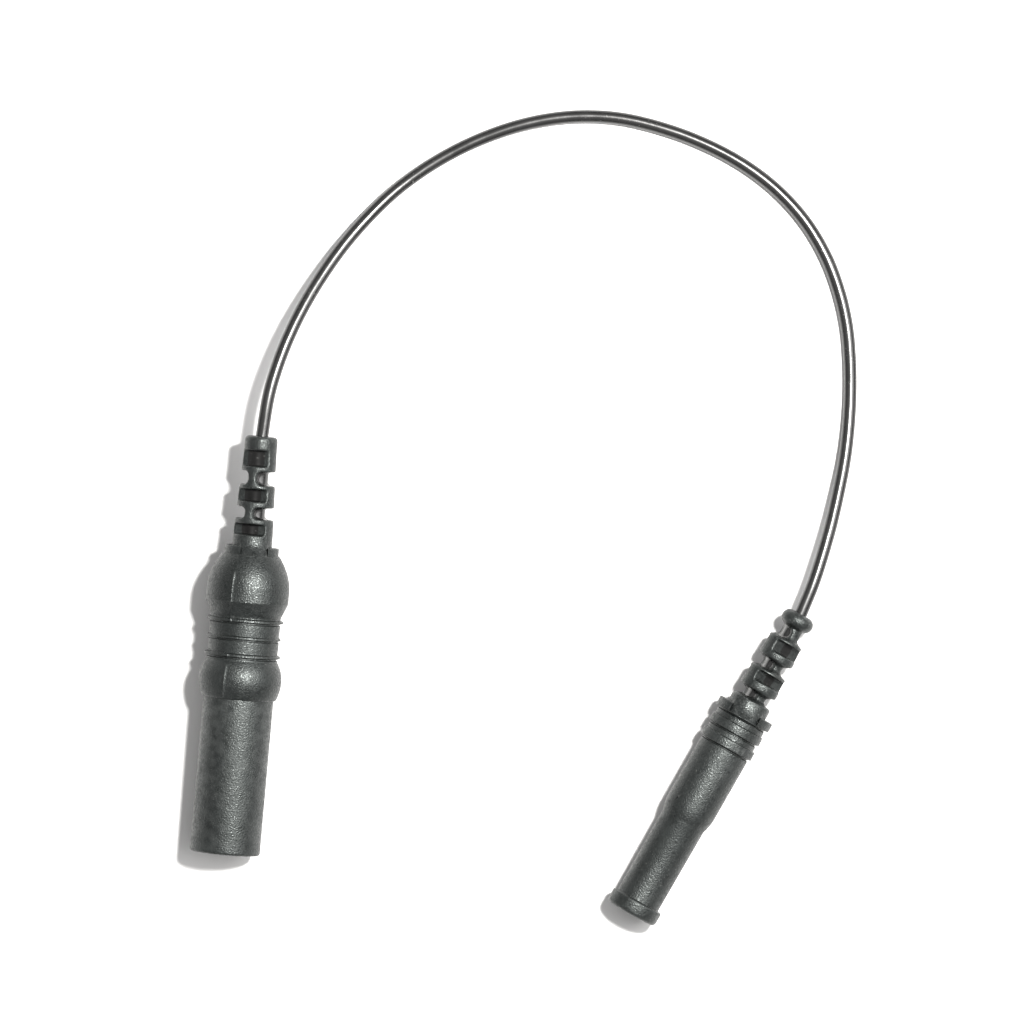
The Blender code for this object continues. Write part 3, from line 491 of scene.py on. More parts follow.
def lathe_group() -> bpy.types.NodeTree:
    """Fine rings that a turning tool leaves, across a vector whose Z is the axis, in millimetres."""
    sheet, given, result = new_group("Lathe marks", {"Pitch": 0.06}, ("Height", "Streak"))
    spot = given.outputs["Vector"]
    split = sheet.add("ShaderNodeSeparateXYZ")
    sheet.join(spot, split.inputs[0])
    wobble = sheet.maths("MULTIPLY", sheet.noise(spot, 900.0, 2.0), 0.02)
    place = sheet.maths("ADD", sheet.maths("MULTIPLY", split.outputs["Z"], 1000.0), wobble)
    turns = sheet.maths("DIVIDE", sheet.maths("MULTIPLY", place, 2 * math.pi), given.outputs["Pitch"])
    rings = sheet.maths("MULTIPLY_ADD", sheet.maths("SINE", turns), 0.5, 0.5)
    sheet.join(rings, result.inputs["Height"])
    sheet.join(sheet.ramp(sheet.noise(spot, 1500.0, 3.0), 0.35, 0.7), result.inputs["Streak"])
    return sheet.tree


@dataclass(frozen=True)
class Groups:
    """The node groups that the finishes share."""

    grain: bpy.types.NodeTree
    handling: bpy.types.NodeTree
    lathe: bpy.types.NodeTree


@dataclass(frozen=True)
class Finish:
    """What every finish has: its name, how its material starts and how it ends."""

    name: str

    def sheet(self) -> tuple[Sheet, bpy.types.Material, bpy.types.Node, bpy.types.NodeSocket]:
        """Start a new material.

        Returns:
            The material's sheet, the material, its Principled BSDF and its object coordinates.
        """
        material = bpy.data.materials.new(self.name)
        material.use_nodes = True
        sheet = Sheet(material.node_tree)
        where = sheet.add("ShaderNodeTexCoord")
        return sheet, material, material.node_tree.nodes["Principled BSDF"], where.outputs["Object"]

    @staticmethod
    def place_group(
        sheet: Sheet, tree: bpy.types.NodeTree, where: bpy.types.NodeSocket, **values: float
    ) -> dict[str, bpy.types.NodeSocket]:
        """Put a shared group in a material with its own values, and give its outputs by name."""
        node = sheet.tree.nodes.new("ShaderNodeGroup")
        node.node_tree = tree
        sheet.join(where, node.inputs["Vector"])
        for name, value in values.items():
            node.inputs[name].default_value = value
        return {socket.name: socket for socket in node.outputs}

    @staticmethod
    def wire(
        sheet: Sheet,
        shader: bpy.types.Node,
        colour: bpy.types.NodeSocket,
        rough: bpy.types.NodeSocket,
        height: bpy.types.NodeSocket,
        strength: float,
        depth_mm: float,
    ) -> None:
        """Join a colour, a roughness and a height to a shader, the height by a bump."""
        sheet.join(colour, shader.inputs["Base Color"])
        sheet.join(rough, shader.inputs["Roughness"])
        bump = sheet.add("ShaderNodeBump", strength=strength, distance=depth_mm * MM)
        sheet.join(height, bump.inputs["Height"])
        sheet.join(bump.outputs["Normal"], shader.inputs["Normal"])


@dataclass(frozen=True)
class Moulded(Finish):
    """Black plastic or rubber with the grain of its mould, rubbed at its edges and lightly dusty."""

    light: Colour
    worn: Colour
    dark: Colour = (0.0032, 0.0038, 0.0038)
    dust: Colour = (0.36, 0.36, 0.34)
    tint: Colour = (0.93, 1.0, 0.98)
    rough: float = 0.25
    rough_spread: float = 0.30
    dust_rough: float = 0.3
    grain_mm: float = 0.17
    depth_mm: float = 0.036
    specular: float = 0.50

    def build(self, groups: Groups) -> bpy.types.Material:
        """Make the material."""
        sheet, material, shader, spot = self.sheet()
        grain = self.place_group(sheet, groups.grain, spot, Size=self.grain_mm)
        marks = self.place_group(sheet, groups.handling, spot, Edge=0.55, Dust=0.18)
        colour = sheet.blend(grain["Cloud"], self.dark, self.light)
        colour = sheet.blend(marks["Rubbed"], colour, self.worn)
        colour = sheet.blend(marks["Dusty"], colour, self.dust)
        uneven = sheet.maths("MULTIPLY_ADD", grain["Cloud"], 0.3, grain["Fleck"])
        rough = sheet.maths("MULTIPLY_ADD", uneven, self.rough_spread, self.rough)
        rough = sheet.maths("ADD", rough, sheet.maths("MULTIPLY", marks["Dusty"], self.dust_rough))
        self.wire(sheet, shader, colour, rough, grain["Height"], 1.0, self.depth_mm)
        shader.inputs["Specular IOR Level"].default_value = self.specular
        shader.inputs["Specular Tint"].default_value = (*self.tint, 1.0)
        return material


@dataclass(frozen=True)
class Jacket(Finish):
    """The smooth extruded jacket of the cord, and other smooth black skins."""

    dark: Colour
    light: Colour
    rough: float
    specular: float
    dust: Colour = (0.30, 0.30, 0.29)
    rough_spread: float = 0.07
    dust_rough: float = 0.35

    def build(self, groups: Groups) -> bpy.types.Material:
        """Make the material."""
        sheet, material, shader, spot = self.sheet()
        marks = self.place_group(sheet, groups.handling, spot, Edge=0.0, Dust=0.35)
        waves = sheet.noise(spot, 420.0, 2.0)
        skin = sheet.noise(spot, 5200.0, 3.0)
        colour = sheet.blend(sheet.ramp(waves, 0.35, 0.7), self.dark, self.light)
        colour = sheet.blend(marks["Dusty"], colour, self.dust)
        rough = sheet.maths("MULTIPLY_ADD", sheet.ramp(waves, 0.3, 0.75), self.rough_spread, self.rough)
        rough = sheet.maths("ADD", rough, sheet.maths("MULTIPLY", marks["Dusty"], self.dust_rough))
        height = sheet.maths("MULTIPLY_ADD", skin, 0.08, waves)
        self.wire(sheet, shader, colour, rough, height, 0.6, 0.05)
        shader.inputs["Specular IOR Level"].default_value = self.specular
        return material


@dataclass(frozen=True)
class TurnedMetal(Finish):
    """Plated metal with the fine rings of its turning, along a connector's axis."""

    colour: Colour
    dull: Colour
    rough: float
    pitch_mm: float
    tilt: tuple[float, float, float]
    under_plating: Colour = (0.80, 0.66, 0.42)

    def build(self, groups: Groups) -> bpy.types.Material:
        """Make the material."""
        sheet, material, shader, where = self.sheet()
        lay = sheet.add("ShaderNodeMapping", rotation=self.tilt)
        sheet.join(where, lay.inputs["Vector"])
        spot = lay.outputs["Vector"]
        turning = self.place_group(sheet, groups.lathe, spot, Pitch=self.pitch_mm)
        marks = self.place_group(sheet, groups.handling, spot, Edge=0.4, Dust=0.1)
        colour = sheet.blend(turning["Streak"], self.colour, self.dull)
        colour = sheet.blend(marks["Rubbed"], colour, self.under_plating)
        rough = sheet.maths("MULTIPLY_ADD", turning["Streak"], 0.14, self.rough)
        self.wire(sheet, shader, colour, rough, turning["Height"], 0.35, 0.006)
        shader.inputs["Metallic"].default_value = 1.0
        return material


@dataclass(frozen=True)
class Nylon(Finish):
    """Unpigmented moulded nylon, slightly see-through."""

    colour: Colour
    shade: Colour
    rough: float

    def build(self, groups: Groups) -> bpy.types.Material:
        """Make the material."""
        sheet, material, shader, spot = self.sheet()
        grain = self.place_group(sheet, groups.grain, spot, Size=0.35)
        colour = sheet.blend(grain["Cloud"], self.colour, self.shade)
        rough = sheet.maths("MULTIPLY_ADD", grain["Cloud"], 0.12, self.rough)
        self.wire(sheet, shader, colour, rough, grain["Height"], 0.3, 0.01)
        shader.inputs["Subsurface Weight"].default_value = 0.25
        shader.inputs["Subsurface Radius"].default_value = (0.6 * MM, 0.5 * MM, 0.35 * MM)
        return material


# Where the connectors lie


@dataclass(frozen=True)
class Lay:
    """A connector's place: the middle of its front end and its own three directions."""

    front: Vector
    level: Vector
    down: Vector
    along: Vector

    @classmethod
    def of(cls, mount: dict, straight_node: str) -> "Lay":
        """Read it from a mount on the front face and a plain cylinder on the axis.

        Args:
            mount: The record's mount on the connector's front face.
            straight_node: A node that is a cylinder about the axis.

        Returns:
            The connector's place.
        """
        along = -Vector(mount["axis"]).normalized()
        low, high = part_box(straight_node)
        on_axis = (low + high) / 2
        front = on_axis + along * (Vector(mount["pos_m"]) - on_axis).dot(along)
        level = along.cross(Vector((0.0, 0.0, 1.0))).normalized()
        return cls(front, level, along.cross(level), along)

    @property
    def matrix(self) -> Matrix:
        """From the connector's own upright space to where it lies."""
        turn = Matrix((self.level, self.down, self.along)).transposed().to_4x4()
        return Matrix.Translation(self.front) @ turn

    @property
    def unturned(self) -> tuple[float, float, float]:
        """The rotation that brings the axis back to Z, for a Mapping node."""
        return tuple(Matrix((self.level, self.down, self.along)).to_euler())

    def at(self, place: float) -> Vector:
        """A point on the axis, in metres, from its place in millimetres."""
        return self.front + self.along * place * MM


@dataclass
class Connector:
    """What the plug and the socket have in common: their place, finishes and how pieces are laid."""

    lay: Lay
    finishes: dict[str, bpy.types.Material]

    def finish(
        self,
        piece: bpy.types.Object,
        node: str,
        material: str,
        slot: str,
        body: str = LEAD,
        crease: float = CREASE,
    ) -> bpy.types.Object:
        """Lay a piece where its node is, dress it and hand it to its body.

        Args:
            piece: The upright piece.
            node: The CAD node that it stands for.
            material: Key of its material.
            slot: The record's material slot; not used.
            body: The body that it moves with.
            crease: Angle past which an edge stays sharp, in degrees.

        Returns:
            The piece.
        """
        smooth_shading(piece, crease)
        piece.matrix_world = self.lay.matrix
        pick(piece)
        bpy.ops.object.transform_apply(location=True, rotation=True, scale=True)
        piece.data.materials.clear()
        piece.data.materials.append(self.finishes[material])
        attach(piece, body)
        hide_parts(node)
        LOG.info("%s: %d faces", piece.name, len(piece.data.polygons))
        return piece

    @property
    def cord_bore(self) -> float:
        """Radius of the bore that the cord goes through, in millimetres."""
        return Cord.radius + 0.04

    @staticmethod
    def cut_turned(piece: bpy.types.Object, blocks: Iterable[bpy.types.Object], turn: float) -> None:
        """Cut a piece with boxes that are first turned about the axis."""
        for tool in blocks:
            pick(tool)
            tool.rotation_euler = (0.0, 0.0, turn)
            bpy.ops.object.transform_apply(location=True, rotation=True, scale=True)
            boolean(piece, tool, Operation.CUT)

    def cut_ears(
        self, piece: bpy.types.Object, top: float, gap: float, depth: float, turn: float = 0.0
    ) -> None:
        """Cut the gap that leaves two ears at the top of an outer moulding."""
        tool = block("Ear_gap", Vector((0.0, 0.0, top)), Vector((gap, ACROSS, 2 * depth)), 0.15)
        self.cut_turned(piece, [tool], turn)

    @staticmethod
    def slots(
        pockets: Sequence[Slot],
        notches: Sequence[Slot],
        pocket_half: Callable[[float], float],
        slab: float,
        web: float,
    ) -> list[bpy.types.Object]:
        """Boxes for the pockets at the front and back of a relief and the notches at its sides."""
        reach = 3.0
        tools = []
        for foot, top in pockets:
            middle = (foot + top) / 2
            for side in (-1.0, 1.0):
                centre = Vector((0.0, side * (slab + reach / 2), middle))
                size = Vector((2 * pocket_half(middle), reach, top - foot))
                tools.append(block("Pocket", centre, size, POCKET_FILLET))
        for foot, top in notches:
            for side in (-1.0, 1.0):
                centre = Vector((side * (web + reach / 2), 0.0, (foot + top) / 2))
                size = Vector((reach, 2 * reach, top - foot))
                tools.append(block("Notch", centre, size, NOTCH_FILLET_SHARE * (top - foot), 6))
        return tools

    @staticmethod
    def add_tongues(
        piece: bpy.types.Object, high: Slot, low: Slot, width: float, turn: float = 0.0
    ) -> None:
        """Add the two tapered tongues that carry the neck's surface down between the ears.

        Args:
            piece: The relief.
            high: Radius and place where the tongues leave the neck.
            low: Radius and place where they end.
            width: Their width, in millimetres.
            turn: Their turn about the axis.
        """
        root = high[0] - 0.5
        flare = 2.2
        steps = 10
        sweep = Outline().to((root, high[1]), high)
        for step in range(1, steps + 1):
            share = step / steps
            sweep.to((high[0] + (low[0] - high[0]) * share ** flare, high[1] + (low[1] - high[1]) * share))
        sweep.to((root, low[1]))
        tongues = turned("Tongues", sweep, 96)
        middle = Vector((0.0, 0.0, (high[1] + low[1]) / 2))
        keep = block("Tongue_width", middle, Vector((width, ACROSS, 2 * (high[1] - low[1]))), 0.0)
        keep.rotation_euler = (0.0, 0.0, turn)
        boolean(tongues, keep, Operation.KEEP)
        boolean(piece, tongues, Operation.JOIN)

    def add_sleeve(self, piece: bpy.types.Object, radius: float, foot: float, top: float) -> None:
        """Put back the thin sleeve round the cord, which the slots are cut down to."""
        outline = Outline().to(
            (radius, top), (radius, foot), (self.cord_bore, foot), (self.cord_bore, top)
        )
        boolean(piece, turned("Sleeve", outline, 64), Operation.JOIN)

    def line_slots(self, piece: bpy.types.Object, radius: float, pockets: Sequence[Slot]) -> None:
        """Give a relief's pocket floors a darker, duller copy of the moulding as painted shade, and the
        sleeve in its notches a smooth skin.

        Args:
            piece: The finished relief, already laid in its place.
            radius: How far from the axis the floor and the skin reach, in millimetres.
            pockets: The places of the pockets along the axis.
        """
        for key in ("painted_shade_recess", "sleeve"):
            piece.data.materials.append(self.finishes[key])
        for face in piece.data.polygons:
            offset = (face.center - self.lay.front) / MM
            place = offset.dot(self.lay.along)
            if (offset - self.lay.along * place).length < radius:
                # Faces on a pocket floor take the darker recess finish, which is painted shade and not a
                # different material.
                in_shaded_pocket = any(foot - 0.1 < place < top + 0.1 for foot, top in pockets)
                face.material_index = 1 if in_shaded_pocket else 2

    @staticmethod
    def crimp(radius: float, squeezed: float, top: float) -> tuple[list[Corner], list[Corner]]:
        """The outside and the bore of a crimp barrel, with the band that the tool squeezed.

        Args:
            radius: Outer radius, in millimetres.
            squeezed: Outer radius of the squeezed band.
            top: Place of the open end.

        Returns:
            The corners of the outside, downwards, and of the bore, upwards.
        """
        outside = [
            (radius, top, 0.12), (radius, top - 1.2, 0.05), (squeezed, top - 1.35, 0.05),
            (squeezed, top - 2.6, 0.05), (radius, top - 2.75, 0.05),
        ]
        return outside, [(0.0, top - 4.0), (0.62, top - 4.0, 0.1), (0.62, top, 0.1)]

    def cord_end(self, node: str, foot: float, top: float) -> bpy.types.Object:
        """The stretch of jacket inside a relief."""
        radius = Cord.radius
        outline = Outline().to((0.0, top), (radius, top, 0.05), (radius, foot, 0.05), (0.0, foot))
        return self.finish(turned(node, outline, 48), node, "jacket", "jacket")


@dataclass
class Plug(Connector):
    """The shrouded plug. Sizes are in millimetres, from its mouth up."""

    barrel_length: float = 17.93
    barrel_radius: float = 4.06
    barrel_wall: float = 0.78
    spigot_radius: float = 3.45
    spigot_length: float = 6.4
    body_top: float = 35.5
    ear_height: float = 0.95
    ear_radius: float = 3.15
    ear_gap: float = 3.2
    ear_turn: float = math.radians(8.0)
    relief_top: float = 48.24
    neck_radius: float = 2.3
    tip_radius: float = 1.9
    waist_radius: float = 4.09
    sleeve_radius: float = 1.2
    front_bulb: Slot = (4.78, 20.15)
    rear_bulb: Slot = (4.765, 30.5)
    rear_bulb_foot: float = 29.16
    waist_top: float = 27.55
    waist_foot: float = 22.45
    grip_rings: tuple[Corner, ...] = ((27.0, 4.39, 0.56), (25.0, 4.27, 0.5), (22.95, 4.39, 0.56))
    inner_radius: float = 3.35
    inner_foot: float = 24.4
    inner_top: float = 33.8
    anchor_radius: float = 3.2
    anchor_foot: float = 32.85
    anchor_top: float = 33.75
    jacket_foot: float = 30.25
    pin_base_radius: float = 1.95
    pin_base_foot: float = 0.85
    pin_shank_radius: float = 1.6
    pin_core_radius: float = 1.15
    pin_head_radius: float = 1.72
    pin_head_top: float = 3.6
    pin_tip: float = 1.4
    seam_turn: float = math.radians(-20.0)
    pockets: tuple[Slot, ...] = ((36.85, 38.08), (40.70, 42.10), (44.77, 46.55))
    notches: tuple[Slot, ...] = ((38.68, 40.0), (42.6, 44.16))

    def sheath(self) -> bpy.types.Object:
        """The rigid barrel: a rounded mouth, a plain bore and a spigot behind it."""
        bore = self.barrel_radius - self.barrel_wall
        shank_bore = self.pin_shank_radius + FIT
        top = self.barrel_length + self.spigot_length
        outline = Outline().to(
            (self.spigot_radius, top, 0.2),
            (self.spigot_radius, self.barrel_length + 0.15),
            (self.barrel_radius, self.barrel_length + 0.15),
            (self.barrel_radius, 0.0, 0.36),
            (bore + 0.02, 0.0, 0.22),
            (bore - 0.03, self.barrel_length, 0.4),
            (shank_bore, self.barrel_length, 0.1),
            (shank_bore, top),
        )
        piece = turned("plug_barrel", outline)
        Seam(self.seam_turn - math.radians(6.0), 0.06, 0.03, 0.03).mark(piece)
        return self.finish(piece, "plug_sheath", "shell", "hard_plastic")

    def body(self) -> bpy.types.Object:
        """The outer moulding: two bulbs, a waist with three grip rings, and two ears."""
        shoulder = self.body_top - self.ear_height
        collar_top = self.barrel_length + 0.3
        bulb_radius, bulb_place = self.front_bulb
        outline = Outline().to(
            (self.neck_radius + CLOSE_FIT, self.body_top, 0.05),
            (self.ear_radius, self.body_top, 0.16),
            (self.ear_radius, shoulder + 0.05, 0.06),
        )
        outline.crown((self.ear_radius + 0.15, shoulder), self.rear_bulb)
        outline.to((self.rear_bulb[0], self.rear_bulb_foot, 0.12), (self.waist_radius, self.waist_top, 0.9))
        for middle, radius, height in self.grip_rings:
            outline.grip_ring(middle, radius, self.waist_radius, height)
        outline.crown((self.waist_radius, self.waist_foot), self.front_bulb)
        outline.crown(
            (bulb_radius, bulb_place - 0.01), (self.barrel_radius + 0.26, self.barrel_length + 0.12)
        )
        outline.to(
            (self.barrel_radius + 0.14, self.barrel_length, 0.06),
            (self.barrel_radius + CLOSE_FIT, self.barrel_length),
            (self.barrel_radius + CLOSE_FIT, collar_top),
            (self.spigot_radius + FIT, collar_top),
            (self.spigot_radius + FIT, self.inner_foot),
            (self.inner_radius, self.inner_foot),
            (self.inner_radius, self.inner_top),
            (self.neck_radius + CLOSE_FIT, self.inner_top),
        )
        piece = turned("plug_moulding", outline)
        self.cut_ears(piece, self.body_top, self.ear_gap, self.ear_height - 0.02, self.ear_turn)
        Seam(self.seam_turn, 0.09, 0.06, 0.10).mark(piece)
        return self.finish(piece, "plug_body", "moulding", "moulding")

    def relief(self) -> bpy.types.Object:
        """The slotted bend relief with its cap, neck and tongues."""
        slope_foot = self.pockets[0][0]
        slope_top = self.pockets[-1][1]
        outline = Outline().to(
            (self.tip_radius, self.relief_top, 0.55),
            (self.tip_radius, slope_top),
            (self.neck_radius, slope_foot),
            (self.neck_radius, self.anchor_top),
            (self.anchor_radius, self.anchor_top),
            (self.anchor_radius, self.anchor_foot),
            (self.cord_bore, self.anchor_foot),
            (self.cord_bore, self.relief_top, 0.15),
        )
        piece = turned("plug_bend_relief", outline, 96)
        shoulder = self.body_top - self.ear_height
        low = (self.ear_radius + 0.24, shoulder - 0.12)
        high = (self.neck_radius, self.body_top + 0.9)
        self.add_tongues(piece, high, low, self.ear_gap + 0.04, self.ear_turn)

        def pocket_half(place: float) -> float:
            share = (place - slope_foot) / (slope_top - slope_foot)
            return self.neck_radius + (self.tip_radius - self.neck_radius) * share - 0.34

        tools = self.slots(self.pockets, self.notches, pocket_half, 1.1, 0.45)
        self.cut_turned(piece, tools, self.seam_turn)
        self.add_sleeve(piece, self.sleeve_radius, self.anchor_foot + 0.1, self.relief_top - 0.8)
        soften(piece, SKIN_VOXEL, 60)
        self.finish(piece, "plug_strain_relief", "moulding", "moulding", crease=SOFT_CREASE)
        self.line_slots(piece, 1.5, self.pockets)
        return piece

    def pin(self) -> bpy.types.Object:
        """The turned contact, with a dimpled head and a grooved base."""
        base_top = self.barrel_length - FIT
        base_foot = base_top - self.pin_base_foot
        base, groove = self.pin_base_radius, self.pin_base_radius - 0.09
        flange_foot = self.barrel_length + self.spigot_length + FIT
        flange_top = flange_foot + FLANGE_HEIGHT
        outside, bore = self.crimp(1.3, 1.18, flange_top + CRIMP_LENGTH)
        outline = Outline().to(
            *outside, (1.3, flange_top, 0.1), (2.4, flange_top, 0.1), (2.4, flange_foot, 0.05),
            (self.pin_shank_radius, flange_foot), (self.pin_shank_radius, base_top),
            (base, base_top, 0.05), (base, base_top - 0.3, 0.04), (groove, base_top - 0.36, 0.03),
            (groove, base_top - 0.48, 0.03), (base, base_top - 0.54, 0.04), (base, base_foot, 0.25),
            (self.pin_core_radius, base_foot, 0.08), (self.pin_core_radius, self.pin_head_top, 0.08),
            (self.pin_head_radius, self.pin_head_top, 0.2), (self.pin_head_radius, self.pin_tip, 1.05),
            (0.45, self.pin_tip, 0.06), (0.0, self.pin_tip + 0.22), *bore,
        )
        piece = turned("plug_pin", outline, 96)
        return self.finish(piece, "plug_pin", "plug_nickel", "nickel")

    def cage(self) -> bpy.types.Object:
        """The bowed cage of sprung leaves, free to turn round the pin's core."""
        foot = self.pin_head_top + 0.1
        top = self.barrel_length - FIT - self.pin_base_foot - 0.1
        inner, wall, bow, ring = self.pin_core_radius + FIT, 0.16, 2.0, 1.0
        leaf_foot, leaf_top = foot + ring, top - ring
        steps = 20
        rise = [(bow - inner - wall) * math.sin(math.pi * step / steps) ** 0.8 for step in range(steps + 1)]
        places = [leaf_top + (leaf_foot - leaf_top) * step / steps for step in range(steps + 1)]
        outline = Outline().to((inner + wall, top, 0.05))
        outline.to(*[(inner + wall + up, place) for up, place in zip(rise, places)])
        outline.to((inner + wall, foot, 0.05), (inner, foot, 0.03))
        outline.to(*[(inner + up, place) for up, place in zip(reversed(rise), reversed(places))])
        outline.to((inner, top, 0.03))
        piece = turned("plug_contact_cage", outline, 96)
        size = Vector((0.34, 6.0, leaf_top - leaf_foot - 0.2))
        for index in range(4):
            tool = block("Leaf slot", Vector((0.0, 0.0, (foot + top) / 2)), size, 0.15, 3)
            self.cut_turned(piece, [tool], math.pi * (index + 0.5) / 4)
        return self.finish(piece, "plug_lantern_spring", "spring", "spring", CAGE)

    def build(self) -> None:
        """Make every piece of the plug that can be seen."""
        self.sheath()
        self.body()
        self.relief()
        self.pin()
        self.cage()
        self.cord_end("plug_cord_end", self.jacket_foot, self.relief_top - CORD_INSET)


@dataclass
class Socket(Connector):
    """The in-line socket. Sizes are in millimetres, from its rim up."""

    rim_radius: float = 3.12
    rim_length: float = 1.79
    nose_radius: float = 2.63
    nose_length: float = 12.3
    shoulder_length: float = 1.9
    body_radius: float = 3.04
    ribs: tuple[Slot, ...] = ((24.515, 3.29), (22.61, 3.33))
    rib_height: float = 1.09
    body_top: float = 27.03
    ear_height: float = 1.1
    ear_radius: float = 3.44
    ear_gap: float = 3.7
    neck_radius: float = 2.44
    stem_radius: float = 1.9
    insulator_radius: float = 1.95
    insulator_top: float = 14.05
    inner_radius: float = 2.5
    anchor_foot: float = 24.35
    anchor_top: float = 25.05
    jacket_foot: float = 19.95
    relief_top: float = 39.73
    knob_radius: float = 1.97
    sleeve_radius: float = 0.88
    slot_turn: float = math.radians(36.0)
    seam_turn: float = math.radians(-56.0)
    pockets: tuple[Slot, ...] = ((30.6, 31.85), (34.5, 35.92))
    notches: tuple[Slot, ...] = ((28.38, 29.5), (32.2, 33.56), (36.28, 37.86))

    def foot_groove(self, outline: Outline, foot: float) -> None:
        """Add the fine groove under a rib or an ear."""
        floor = self.body_radius - 0.16
        outline.to((floor, foot - 0.04, 0.05), (floor, foot - 0.16, 0.05))
        outline.to((self.body_radius, foot - 0.26, 0.06))

    def body(self) -> bpy.types.Object:
        """The outer moulding: rim lip, nose, shoulder, body, two ribs and two ears."""
        shoulder = self.body_top - self.ear_height
        bore = self.insulator_radius + 0.04
        half = self.rib_height / 2
        outline = Outline().to(
            (self.neck_radius + CLOSE_FIT, self.body_top, 0.05),
            (self.ear_radius, self.body_top, 0.16),
            (self.ear_radius, shoulder, 0.1),
        )
        self.foot_groove(outline, shoulder)
        for middle, radius in self.ribs:
            outline.to(
                (self.body_radius, middle + half + 0.05, 0.05),
                (radius - 0.04, middle + half - 0.05, 0.12),
                (radius, middle - half + 0.04, 0.1),
            )
            self.foot_groove(outline, middle - half)
        outline.crown(
            (self.body_radius, self.nose_length + self.shoulder_length),
            (self.nose_radius + 0.07, self.nose_length),
        )
        outline.to(
            (self.nose_radius, self.rim_length, 0.1),
            (self.rim_radius, self.rim_length - 0.1, 0.5),
            (self.rim_radius, 0.0, 1.0),
            (bore, 0.0, 0.12),
            (bore, self.insulator_top + FIT),
            (self.inner_radius + FIT, self.insulator_top + FIT),
            (self.inner_radius + FIT, self.anchor_top + FIT),
            (self.stem_radius + FIT, self.anchor_top + FIT),
            (self.stem_radius + FIT, shoulder + 0.2),
            (self.neck_radius + CLOSE_FIT, shoulder + 0.2),
        )
        piece = turned("socket_moulding", outline)
        self.cut_ears(piece, self.body_top, self.ear_gap, self.ear_height - 0.06)
        Seam(self.seam_turn, 0.16, 0.10, 0.25).mark(piece)
        return self.finish(piece, "socket_body", "moulding", "moulding")

    def relief(self) -> bpy.types.Object:
        """The slotted bend relief: a knob, two slotted rings, three waists, a neck and tongues."""
        shoulder = self.body_top - self.ear_height
        low, middle, high = self.notches
        knob_half = (self.relief_top - high[1]) / 2
        outline = Outline().bead(self.relief_top - knob_half, self.knob_radius, knob_half)
        outline.to(
            (1.34, high[1] - 0.25, 0.35),
            (1.34, high[0] + 0.3, 0.4),
            (2.11, high[0], 0.6),
            (2.16, middle[1] - 0.05, 0.6),
            (1.44, middle[1] - 0.3, 0.25),
            (1.46, middle[0] + 0.3, 0.3),
            (2.28, middle[0], 0.6),
            (2.32, low[1] - 0.05, 0.6),
            (1.56, low[1] - 0.3, 0.2),
            (1.58, low[0] + 0.25, 0.2),
            (self.neck_radius, low[0] - 0.15, 0.35),
            (self.neck_radius, shoulder + 0.25),
            (self.stem_radius, shoulder + 0.25),
            (self.stem_radius, self.anchor_top),
            (self.inner_radius, self.anchor_top),
            (self.inner_radius, self.anchor_foot),
            (self.cord_bore, self.anchor_foot),
            (self.cord_bore, self.relief_top, 0.12),
        )
        piece = turned("socket_bend_relief", outline, 96)
        foot = (self.ear_radius - 0.02, shoulder - 0.02)
        self.add_tongues(piece, (self.neck_radius, self.body_top + 1.1), foot, self.ear_gap + 0.04)

        def pocket_half(place: float) -> float:
            share = (place - low[1]) / (high[0] - low[1])
            return 2.31 - 0.2 * share - 0.1

        tools = self.slots(self.pockets, self.notches, pocket_half, 0.9, 0.60)
        self.cut_turned(piece, tools, self.slot_turn)
        self.add_sleeve(piece, self.sleeve_radius, self.anchor_foot + 0.1, self.relief_top - 0.8)
        soften(piece, SKIN_VOXEL, 50)
        self.finish(piece, "socket_strain_relief", "moulding", "moulding", crease=SOFT_CREASE)
        self.line_slots(piece, 1.1, self.pockets)
        return piece

    def insulator(self) -> bpy.types.Object:
        """The rigid tube round the contact, with its finger-proof lip."""
        outline = Outline().to(
            (self.insulator_radius, self.insulator_top), (self.insulator_radius, 0.3, 0.12),
            (1.1, 0.3, 0.3), (1.1, 1.3, 0.08), (1.56, 1.3, 0.08), (1.56, self.insulator_top),
        )
        piece = turned("socket_insulator", outline, 96)
        return self.finish(piece, "socket_insulator", "shell", "hard_plastic")

    def contact(self) -> bpy.types.Object:
        """The slotted contact tube with its flange and crimp barrel."""
        flange_foot = self.insulator_top + FIT
        flange_top = flange_foot + FLANGE_HEIGHT
        outside, wire_bore = self.crimp(1.2, 1.1, flange_top + CRIMP_LENGTH)
        outline = Outline().to(
            *outside, (1.2, flange_top, 0.1), (1.9, flange_top, 0.08), (1.9, flange_foot, 0.05),
            (1.3, flange_foot, 0.05), (1.3, 1.6, 0.12), (1.0, 1.6, 0.18), (1.0, 11.0), (0.0, 11.4),
            *wire_bore,
        )
        piece = turned("socket_contact", outline, 96)
        for index in range(2):
            tool = block("Tine slot", Vector((0.0, 0.0, 4.7)), Vector((0.3, 4.0, 8.2)), 0.0)
            self.cut_turned(piece, [tool], math.pi * (index + 0.5) / 2)
        return self.finish(piece, "socket_contact", "socket_nickel", "nickel")

    def clip(self) -> bpy.types.Object:
        """The open spring ring round the contact's tines."""
        outline = Outline().to(
            (1.49, 4.8, 0.05), (1.49, 2.8, 0.05), (1.35, 2.8, 0.03), (1.35, 4.8, 0.03),
        )
        piece = turned("socket_clip_ring", outline, 96)
        tool = block("Clip gap", Vector((0.0, -2.0, 3.8)), Vector((0.5, 4.0, 4.0)), 0.0)
        boolean(piece, tool, Operation.CUT)
        return self.finish(piece, "socket_clip_spring", "spring", "spring")

    def build(self) -> None:
        """Make every piece of the socket that can be seen."""
        self.body()
        self.relief()
        self.insulator()
        self.contact()
        self.clip()
        self.cord_end("socket_cord_end", self.jacket_foot, self.relief_top - CORD_INSET)


